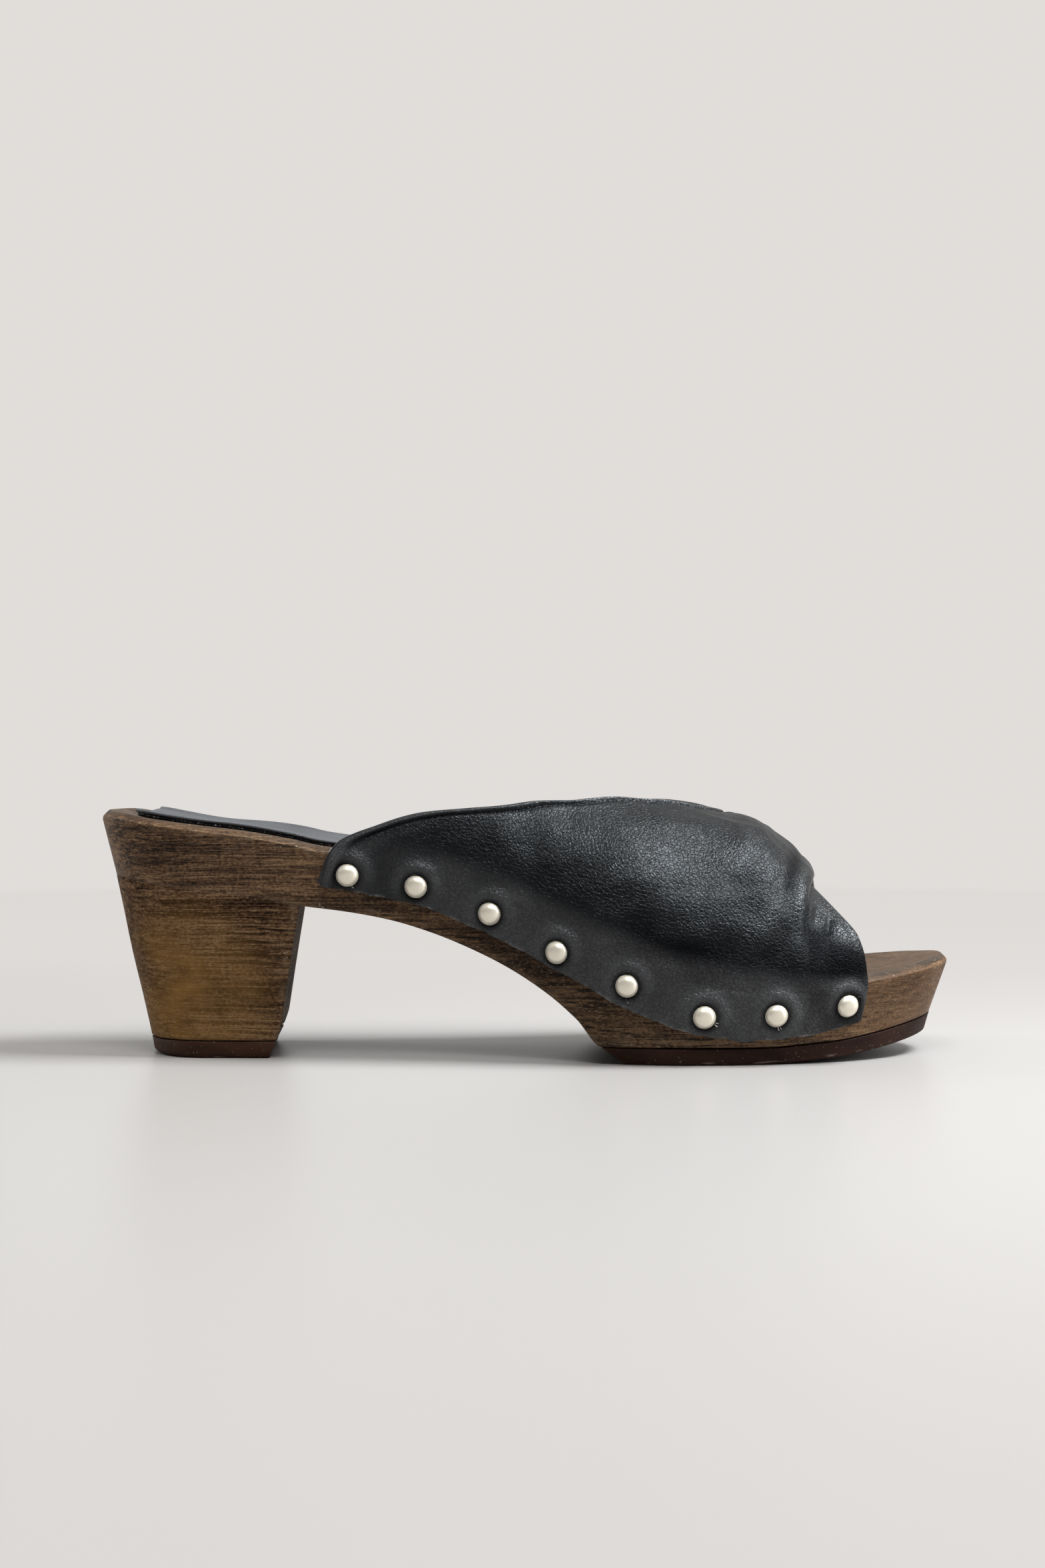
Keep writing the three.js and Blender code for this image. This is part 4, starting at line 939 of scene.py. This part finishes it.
def upper_surface(columns, extra_back=0.0, extra_toe=0.0):
    """Outer surface of the leather as a grid of points, with its normals and each point's place.

    share: place along the shoe. turn: place round the foot, beyond 1 on the skirts. up: place up the skirt.
    back, toe: where each row starts and ends.
    """
    side, up, across = band_rows()
    on_skirt = np.abs(across) >= 1
    turn = np.where(on_skirt, side * (1 + .2 * (1 - up)), across)
    level = np.abs(across)

    def ends(edge, low):
        at = np.where(side < 0, edge[-1](level), edge[1](level))
        return np.where(on_skirt, mix(np.where(side < 0, low[-1], low[1]), at, up), at)
    back = ends(throat, SKIRT_BACK) - extra_back / LENGTH
    toe = ends(toe_edge, SKIRT_TOE) + extra_toe / LENGTH
    front, rear = front_at(turn), rear_at(turn)
    share = np.array([column_shares(*row, columns) for row in zip(back, toe, front, rear, turn)])
    across, up, side, on_skirt, turn = (np.repeat(v[:, None], columns, 1)
                                        for v in (across, up, side, on_skirt, turn))
    height_front, height_rear = (KNOT_HEIGHT * proud(turn) * .92 for proud in (front_proud, rear_proud))
    d, e = (share - front[:, None]) * LENGTH, -(share - rear[:, None]) * LENGTH
    along_f, proud_f = fold_shape(d, height_front, np.clip(.35 + .9 * front_proud(turn), .35, 1.25))
    along_r, proud_r = fold_shape(e, height_rear, np.clip(.35 + .9 * rear_proud(turn), .35, 1.1))
    slide = (along_f - d) - (along_r - e) * (rear_proud(turn) > .02)
    placed = share + slide / LENGTH * np.where(height_front + height_rear > .05, 1, 0)

    def base(s):
        drop = SKIRT * skirt_drop(s) * (1 - up)
        drop = drop + .22 * waves(np.stack([s * LENGTH, 0 * s, side * 9.0], -1), 6, 41) * (1 - up) ** 3
        low = np.where((side < 0)[..., None], skirt_point(-1, s, drop)[0], skirt_point(1, s, drop)[0])
        return np.where(on_skirt[..., None], low, instep_point(across, s))
    grid, row = base(placed), np.arange(len(back))
    weight = bell(row - SKIRT_ROWS, 5) + bell(row - (len(row) - 1 - SKIRT_ROWS), 5)
    for _ in range(SOFTENED):
        soft = grid.copy()
        soft[1:-1] = (grid[:-2] + 2 * grid[1:-1] + grid[2:]) / 4
        grid = mix(grid, soft, np.clip(weight, 0, 1)[:, None, None])
    normal = surface_normal(base(share))
    grid = grid + normal * np.maximum(proud_f, proud_r)[..., None]
    return grid, normal, share, turn, up, back[:, None], toe[:, None]


def surface_normal(grid):
    """Normals of a grid, pointing out of the shoe."""
    round_it = np.gradient(grid, axis=0)
    along = np.gradient(grid, axis=1)
    return unit(np.cross(along, round_it))


def near_line(p, line):
    """Distance from points to a polyline, and the place along it from 0 to 1."""
    line = np.array(line, float)
    starts = path_length(line)
    best, place = np.full(p.shape[:-1], 1e9), np.zeros(p.shape[:-1])
    for a, b, start, stop in zip(line[:-1], line[1:], starts[:-1], starts[1:]):
        t = np.clip(((p - a) @ (b - a)) / (stop - start) ** 2, 0, 1)
        far = np.linalg.norm(p - (a + t[..., None] * (b - a)), axis=-1)
        place = np.where(far < best, mix(start, stop, t) / starts[-1], place)
        best = np.minimum(far, best)
    return best, place


def stud_distances(grid):
    """For each stud, how far every point is from it and how much higher."""
    for sign in (-1, 1):
        for centre in stud_centres[sign][0]:
            yield np.linalg.norm(grid - centre, axis=-1), grid[..., 2] - centre[2]


def folds(grid, turn, share):
    """How far the lip of the crossing layer and the creases move the leather out."""
    moved = np.zeros(grid.shape[:2])
    beside = smooth(.5 + (grid[..., 1] - RIDGE_OFFSET) / 8)
    for table, there in ((CREASES, 1 - beside), (INNER_CREASES, beside)):
        for line, depth, width in table:
            far, place = near_line(grid[..., [0, 2]], line)
            moved += there * depth * bell(far, width) * smooth(place / .2) * smooth((1 - place) / .3)
    behind = (front_at(turn) - share) * LENGTH
    beside = smooth((-.04 - turn) / .14) * smooth((turn + .72) / .2)
    return moved + ripples(behind, LIP) * beside


def relief(grid, turn, up, share):
    """How far folds, creases and the studs' pull move the leather out."""
    moved = folds(grid, turn, share)
    moved += crown(grid[..., 0]) * smooth((grid[..., 2] - 38) / 10) * bell(grid[..., 1] - RIDGE_OFFSET, 15)
    moved += (.30 * waves(grid, 26, 51) + .16 * waves(grid, 11, 52)) * (1 - .85 * (up < 1))
    for far, rise in stud_distances(grid):
        above = smooth((rise + 5) / 7)
        moved += ripples(far, STUD_PULL) + above * ripples(far, STUD_PULL_ABOVE)
    return moved


def sheet_piece(name, look, outer, inner, nodes=(), marks=None, rim=5):
    """Closed sheet between two grids, with half-round edges at its two long ends and square cut ones."""
    rows, columns = outer.shape[:2]
    bend = np.linspace(0, np.pi, rim + 2)[1:-1]

    def edge(j, k):
        middle = (outer[:, j] + inner[:, j]) / 2
        half = (outer[:, j] - inner[:, j]) / 2
        radius = np.linalg.norm(half, axis=1, keepdims=True)
        ahead = outer[:, j] - outer[:, k]
        n = unit(half)
        ahead = unit(ahead - n * (ahead * n).sum(1, keepdims=True))
        return np.stack([middle + half * math.cos(b) + ahead * radius * math.sin(b) for b in bend], 1)
    rings = np.concatenate([outer, edge(columns - 1, columns - 2), inner[:, ::-1], edge(0, 1)[:, ::-1]], 1)
    ring = rings.shape[1]
    faces = quads(rows, ring, True)
    for start in (0, (rows - 1) * ring):
        over = [start + i for i in range(columns)]
        toe_rim = [start + columns + i for i in range(rim)]
        under = [start + 2 * columns + rim - 1 - i for i in range(columns)]
        back_rim = [start + 2 * columns + rim + i for i in range(rim)]
        faces += [[over[i], over[i + 1], under[i + 1], under[i]] for i in range(columns - 1)]
        faces += [[over[-1]] + toe_rim + [under[-1]], [under[0]] + back_rim + [over[0]]]
    full = {}
    for key, values in (marks or {}).items():
        first, last = (np.repeat(values[:, i], rim, 1) for i in (slice(0, 1), slice(-1, None)))
        full[key] = np.concatenate([values, last, values[:, ::-1], first], 1).ravel()
    piece(name, rings.reshape(-1, 3), faces, look, nodes, full, math.radians(55))


def painted_body_sheen(grid, turn, share):
    """Painted sheen and shade, through the specular level: highlights on ridges, the lip and the panel's top;
    shade in troughs, before the lip, on the lower body and low on the panel.
    """
    painted_sheen = np.clip(.5 + .55 * folds(grid, turn, share), 0, 1)
    behind = (front_at(turn) - share) * LENGTH
    shown = smooth((-.02 - turn) / .1) * smooth((turn + .8) / .2)
    # Painted highlight on the lip and painted shade in the crease in front of it.
    painted_sheen = painted_sheen + shown * ripples(behind, LIP_PAINTED_SHEEN)
    # Painted shade on the lower body; on the panel, a painted highlight along its top with shade below.
    panel = smooth(-behind / 3) * smooth((.1 - turn) / .1)
    low_body = smooth((39 - grid[..., 2]) / 7) * smooth((share - .5) / .1) * (np.abs(turn) < 1)
    lit = grid[..., 2] + .44 * (grid[..., 0] - 215)
    return (painted_sheen - .30 * low_body * (1 - panel)
            + panel * (.5 * smooth((lit - 35.5) / 4) - .65 * smooth((37.5 - lit) / 5.5)))


def painted_reflection_and_sheen(grid, painted_sheen, turn, share, from_back, from_toe):
    """Marks for the leather's look: a lighter tone painted as the floor's reflection on the skirt and as
    highlights at the collar and above the studs, painted shadow rings round the studs, and painted highlights
    and shade in the sheen round the studs and at the collar's bead.
    """
    # Painted reflection of the floor on the skirt, weaker near the toe and towards the heel.
    pale = smooth((np.abs(np.clip(turn, -1, 1)) - .90) / .10) * mix(1, .6, smooth((14 - from_toe) / 14))
    pale = pale * mix(.4, 1, smooth((share - .32) / .16)) * (.9 + .2 * waves(grid, 17, 61))
    for far, rise in stud_distances(grid):
        above = smooth((rise + 4) / 6)
        # Painted shadow ring round each stud, and painted highlights above it in tone and sheen.
        pale = pale * (1 - .85 * bell(far - 3.4, 1.1)) + .30 * above * bell(far - 5.9, 1.5)
        painted_sheen = painted_sheen + ripples(far, STUD_PAINTED_SHEEN) + above * ripples(far, STUD_PAINTED_SHEEN_ABOVE)
    # Painted highlight on the collar's bead and painted shade in its groove.
    painted_sheen = painted_sheen + ripples(from_back, BEAD_PAINTED_SHEEN)
    # Painted highlights in tone on the collar's bead and on a band below the collar.
    pale = pale + .45 * bell(from_back - .7, .9)
    pale = pale + .30 * bell(from_back - 7.5, 3.0) * smooth((.42 - share) / .1)
    return {"pale": np.clip(pale, 0, 1), "painted_sheen": np.clip(painted_sheen, 0, 1)}


def upper():
    """Leather outside with a rolled bead along the collar, and its lining inside, set back from the edges."""
    grid, normal, share, turn, up, back, toe = upper_surface(LEATHER_COLUMNS)
    # Painted sheen and shade, through the leather's specular level.
    painted_sheen = painted_body_sheen(grid, turn, share)
    from_back, from_toe = (share - back) * LENGTH, (toe - share) * LENGTH
    moved = relief(grid, turn, up, share) * mix(.35, 1, smooth(from_back / 5) * smooth(from_toe / 4))
    moved += ripples(from_back, BEAD) + .15 * bell(from_toe - .9, .7)
    grid = grid + normal * moved[..., None]
    # Painted reflection, highlights and shadow rings in tone, and the painted sheen, as marks.
    marks = painted_reflection_and_sheen(grid, painted_sheen, turn, share, from_back, from_toe)
    marks["worn"] = smooth((np.where(up < 1, 1 - up, 0) - .93) / .07)
    sheet_piece("leather_upper", LEATHER, grid, grid - normal * LEATHER_WALL, ["upper"], marks)

    grid, normal, share, turn, up, back, _ = upper_surface(LINING_COLUMNS, extra_back=1.15, extra_toe=-.9)
    edge = bell((share - back) * LENGTH - .6, .9)
    moved = relief(grid, turn, up, share) - LEATHER_WALL - .06 + .22 * edge
    grid = grid + normal * moved[..., None]
    sheet_piece("leather_lining", LINING, grid[1:-1], (grid - normal * LINING_WALL)[1:-1])


# Studs and loose ends
STUD_TURNS, WIRE_TURNS, WIRE_CUTS = 48, 8, 18


def studs():
    """Domed nail heads with a rolled rim, each set a little askew."""
    radius = STUD_DIAMETER / 2 * .95
    dome = np.sin(np.linspace(0, 1.48, 20))
    profile = [(radius * t, .1 + (STUD_HEIGHT - .2) * (1 - t ** 3.1) ** .75) for t in dome]
    profile += [(radius + .02, .16), (radius - .05, .0), (radius - .5, -.12), (radius * .5, -.1), (0.0, -.1)]
    angles = np.linspace(0, 2 * math.pi, STUD_TURNS, endpoint=False)
    points = np.array([(r * math.cos(a), r * math.sin(a), z) for r, z in profile for a in angles])
    faces = quads(len(profile), STUD_TURNS, True)
    for sign, side in ((-1, "lateral"), (1, "medial")):
        for i, (centre, out) in enumerate(zip(*stud_centres[sign]), 1):
            out = unit(out + random.normal(0, .035, 3))
            across = unit(np.cross([0, 0, 1.0], out))
            axes = np.stack([across, np.cross(out, across), out])
            placed = points @ axes + centre + out * (GAP - .25)
            piece(f"nail_head_{side}_{i}", placed, faces, NICKEL, [f"stud_{side}_{i}"])


def wire_shape(line, radius):
    """Points and faces of a thin round wire with closed ends along a line."""
    line = np.array(line, float)
    p = resampled(line, np.linspace(0, path_length(line)[-1], WIRE_CUTS))
    for _ in range(3):
        p[1:-1] = (p[:-2] + 2 * p[1:-1] + p[2:]) / 4
    tangent = unit(np.gradient(p, axis=0))
    side = unit(np.cross(tangent, [.3, .2, .93]))
    other = np.cross(tangent, side)
    swell = radius * np.clip(np.sin(np.linspace(.12, np.pi - .12, WIRE_CUTS)) * 3, .25, 1)
    a = np.linspace(0, 2 * np.pi, WIRE_TURNS, endpoint=False)[None, :, None]
    rings = p[:, None] + swell[:, None, None] * (side[:, None] * np.cos(a) + other[:, None] * np.sin(a))
    ends = [list(range(start, start + WIRE_TURNS)) for start in (0, (WIRE_CUTS - 1) * WIRE_TURNS)]
    return rings.reshape(-1, 3), quads(WIRE_CUTS, WIRE_TURNS, True) + ends


def wires(name, look, lines):
    """Several thin wires as one piece. Each line is a list of points and a radius."""
    points, faces = [], []
    for number, (line, radius) in enumerate(lines):
        p, f = wire_shape(line, radius)
        points.append(p)
        faces += [[number * len(p) + v for v in face] for face in f]
    piece(name, np.vstack(points), faces, look)


def on_leather(stud, right, high, out):
    """Point beside an outer stud: to the toe, up and off the leather, in millimetres."""
    centre, normal = (v[stud] for v in stud_centres[-1])
    along = unit(np.cross([0, 0, 1.0], normal))
    along = along if along[0] > 0 else -along
    rise = np.cross(along, normal)
    rise = rise if rise[2] > 0 else -rise
    return centre + along * right + rise * high + normal * out


def loose_ends():
    """Ends of the staples under the studs, small burrs and torn fibres."""
    at = on_leather
    wires("staple_ends", DARK_WIRE, [
        ([at(4, -1.0, 3.6, .2), at(4, -.9, 4.1, .45), at(4, 1.0, 4.2, .5), at(4, 1.1, 3.6, .2)], .22),
        ([at(4, -.2, -3.4, .2), at(4, -.1, -4.2, .5), at(4, .9, -4.4, .45), at(4, 1.0, -3.5, .2)], .24),
        ([at(7, 2.6, 2.4, .1), at(7, 3.3, 2.9, .5), at(7, 4.0, 2.3, .5), at(7, 4.1, 1.2, .1)], .2),
        ([at(0, .8, -3.3, .1), at(0, 1.1, -3.9, .5)], .18),
        ([at(1, -1.6, 3.2, .1), at(1, -.6, 3.6, .3), at(1, .3, 3.5, .1)], .16),
    ])
    wires("burrs", PALE_FIBRE, [
        ([at(5, 2.9, -2.1, .0), at(5, 3.7, -2.7, .4)], .16),
        ([at(5, 3.1, -1.6, .0), at(5, 4.0, -1.8, .3)], .12),
        ([at(6, .5, -3.3, .0), at(6, .9, -4.3, .3)], .15),
        ([at(6, 1.1, -3.2, .0), at(6, 1.6, -4.0, .3)], .12),
        ([at(4, .1, -4.3, .2), at(4, .5, -4.9, .4)], .18),
        ([at(0, 1.2, -3.2, .1), at(0, 1.8, -3.7, .3)], .12),
    ])


def flake():
    """Torn bit of lining that stands up between the board and the collar's outer corner."""
    low = skirt_point(-1, np.array(.2735), 1.2, 1.1)[0]
    t, u = np.linspace(0, 1, 9)[:, None], np.linspace(-1, 1, 5)[None]
    wide = (.55 - .35 * t) * (1 + .3 * np.sin(9 * t))
    middle = low + np.stack([.9 * t ** 1.4 + .15 * np.sin(6 * t), -.25 * np.sin(3 * t), 3.1 * t], -1)
    face = middle + np.stack([wide * u, .12 * u * u - .1 + 0 * t, .12 * np.sin(5 * u + 4 * t)], -1)
    back = face + np.array([0, .22, 0])
    rings = np.concatenate([face, back[:, ::-1]], 1)
    rings_piece("torn_flake", rings, PALE_FIBRE, caps=(0, len(rings) - 1))


# Stage
# The photograph's view, fitted to it: 0.95 m away, nearly level, a little above the shoe.
CAMERA_PLACE = (-.00035, -.946674, .104269)
CAMERA_TILT, CAMERA_PAN = 1.5403, .0479  # degrees below level, and to the left
LENS, SENSOR = 73.402, 36
BACKDROP = (.753, .723, .701)
FLOOR_TONE = .415  # how dark the floor is near the shoe, before the lights
FLOOR_SIZE = 14.0
# What the pieces reflect: the room is darkest below and in front, palest above and behind.
ROOM_LEAN = (0, .8, .6)
ROOM_STOPS = [(0.0, .09), (.25, .12), (.5, .25), (.7, .44), (1.0, .62)]
ROOM_TINT = (1.0, .985, .96)


def camera():
    data = bpy.data.cameras.new("view")
    data.sensor_width, data.lens = SENSOR, LENS
    made = in_scene("view", data)
    made.location = CAMERA_PLACE
    made.rotation_euler = (math.radians(90 - CAMERA_TILT), 0, math.radians(CAMERA_PAN))
    bpy.context.scene.camera = made


def floor():
    """Pale floor that takes the shoe's shadow and turns into the backdrop's own tone further away."""
    k = Look("pale_floor")
    away = k.add("ShaderNodeVectorMath", {0: k.place}, operation="LENGTH").outputs["Value"]
    behind = k.times(k.steps(k.span(k.axis(1), .03, .34), (0.0, 0.0), (.35, .42), (1.0, 1.0)), .9)
    far = k.sums("MAXIMUM", k.span(away, .32, .85), behind)
    glow = k.add("ShaderNodeEmission", {"Color": BACKDROP + (1,)})
    k.finish(colour=tuple(v * FLOOR_TONE for v in BACKDROP), rough=.34, specular=.25)
    joined = k.add("ShaderNodeMixShader", {0: far, 1: k.shader.outputs[0], 2: glow.outputs[0]})
    k.put(k.tree.nodes["Material Output"].inputs["Surface"], joined.outputs[0])
    mesh = bpy.data.meshes.new("floor")
    s = FLOOR_SIZE
    mesh.from_pydata([(-s, -s, 0), (s, -s, 0), (s, s, 0), (-s, s, 0)], [], [(0, 1, 2, 3)])
    mesh.materials.append(k.material)
    made = in_scene("floor", mesh)


def softbox(name, place, aim, size, power, colour=(1, 1, 1)):
    data = bpy.data.lights.new(name, "AREA")
    data.shape = "RECTANGLE"
    data.size, data.size_y = size
    data.energy, data.color = power, colour
    made = in_scene(name, data)
    made.location = place
    x, y, z = np.array(aim, float) - np.array(place, float)
    made.rotation_euler = (math.atan2(math.hypot(x, y), -z), 0, math.atan2(y, x) - math.pi / 2)


def surroundings():
    """Even pale room. What the pieces reflect is darker between the floor and the lights, as in a studio."""
    world = bpy.data.worlds.new("room")
    world.use_nodes = True
    tree = world.node_tree
    add, link = tree.nodes.new, tree.links.new
    lean = add("ShaderNodeVectorMath")
    lean.operation = "DOT_PRODUCT"
    link(add("ShaderNodeTexCoord").outputs["Generated"], lean.inputs[0])
    lean.inputs[1].default_value = ROOM_LEAN
    reach = add("ShaderNodeMapRange")
    reach.inputs["From Min"].default_value, reach.inputs["From Max"].default_value = -1.0, 1.0
    link(lean.outputs["Value"], reach.inputs["Value"])
    ramp = add("ShaderNodeValToRGB")
    link(reach.outputs["Result"], ramp.inputs[0])
    stops = ramp.color_ramp.elements
    stops[0].position, stops[1].position = ROOM_STOPS[0][0], ROOM_STOPS[-1][0]
    for at, _ in ROOM_STOPS[1:-1]:
        stops.new(at)
    for stop, (_, grey) in zip(stops, ROOM_STOPS):
        stop.color = tuple(grey * v for v in ROOM_TINT) + (1,)
    seen = add("ShaderNodeMix")
    seen.data_type = "RGBA"
    link(add("ShaderNodeLightPath").outputs["Is Camera Ray"], seen.inputs["Factor"])
    link(ramp.outputs[0], seen.inputs[6])
    seen.inputs[7].default_value = BACKDROP + (1,)
    link(seen.outputs[2], tree.nodes["Background"].inputs["Color"])
    bpy.context.scene.world = world


camera()
board()
heel_block()
heel_lift()
outsole()
sock()
upper()
studs()
loose_ends()
flake()
floor()
softbox("key", (.56, -.06, .92), (0, 0, .04), (.5, .45), 25, (.95, .98, 1))
softbox("front", (.05, -.60, 1.0), (0, 0, .04), (.5, .4), 7)
softbox("toe_side", (1.05, -.22, .42), (.06, 0, .04), (.3, .6), 5)
softbox("heel_side", (-1.05, .25, .45), (-.06, 0, .04), (.3, .6), 5)
surroundings()
bpy.context.scene.view_settings.view_transform = "Standard"
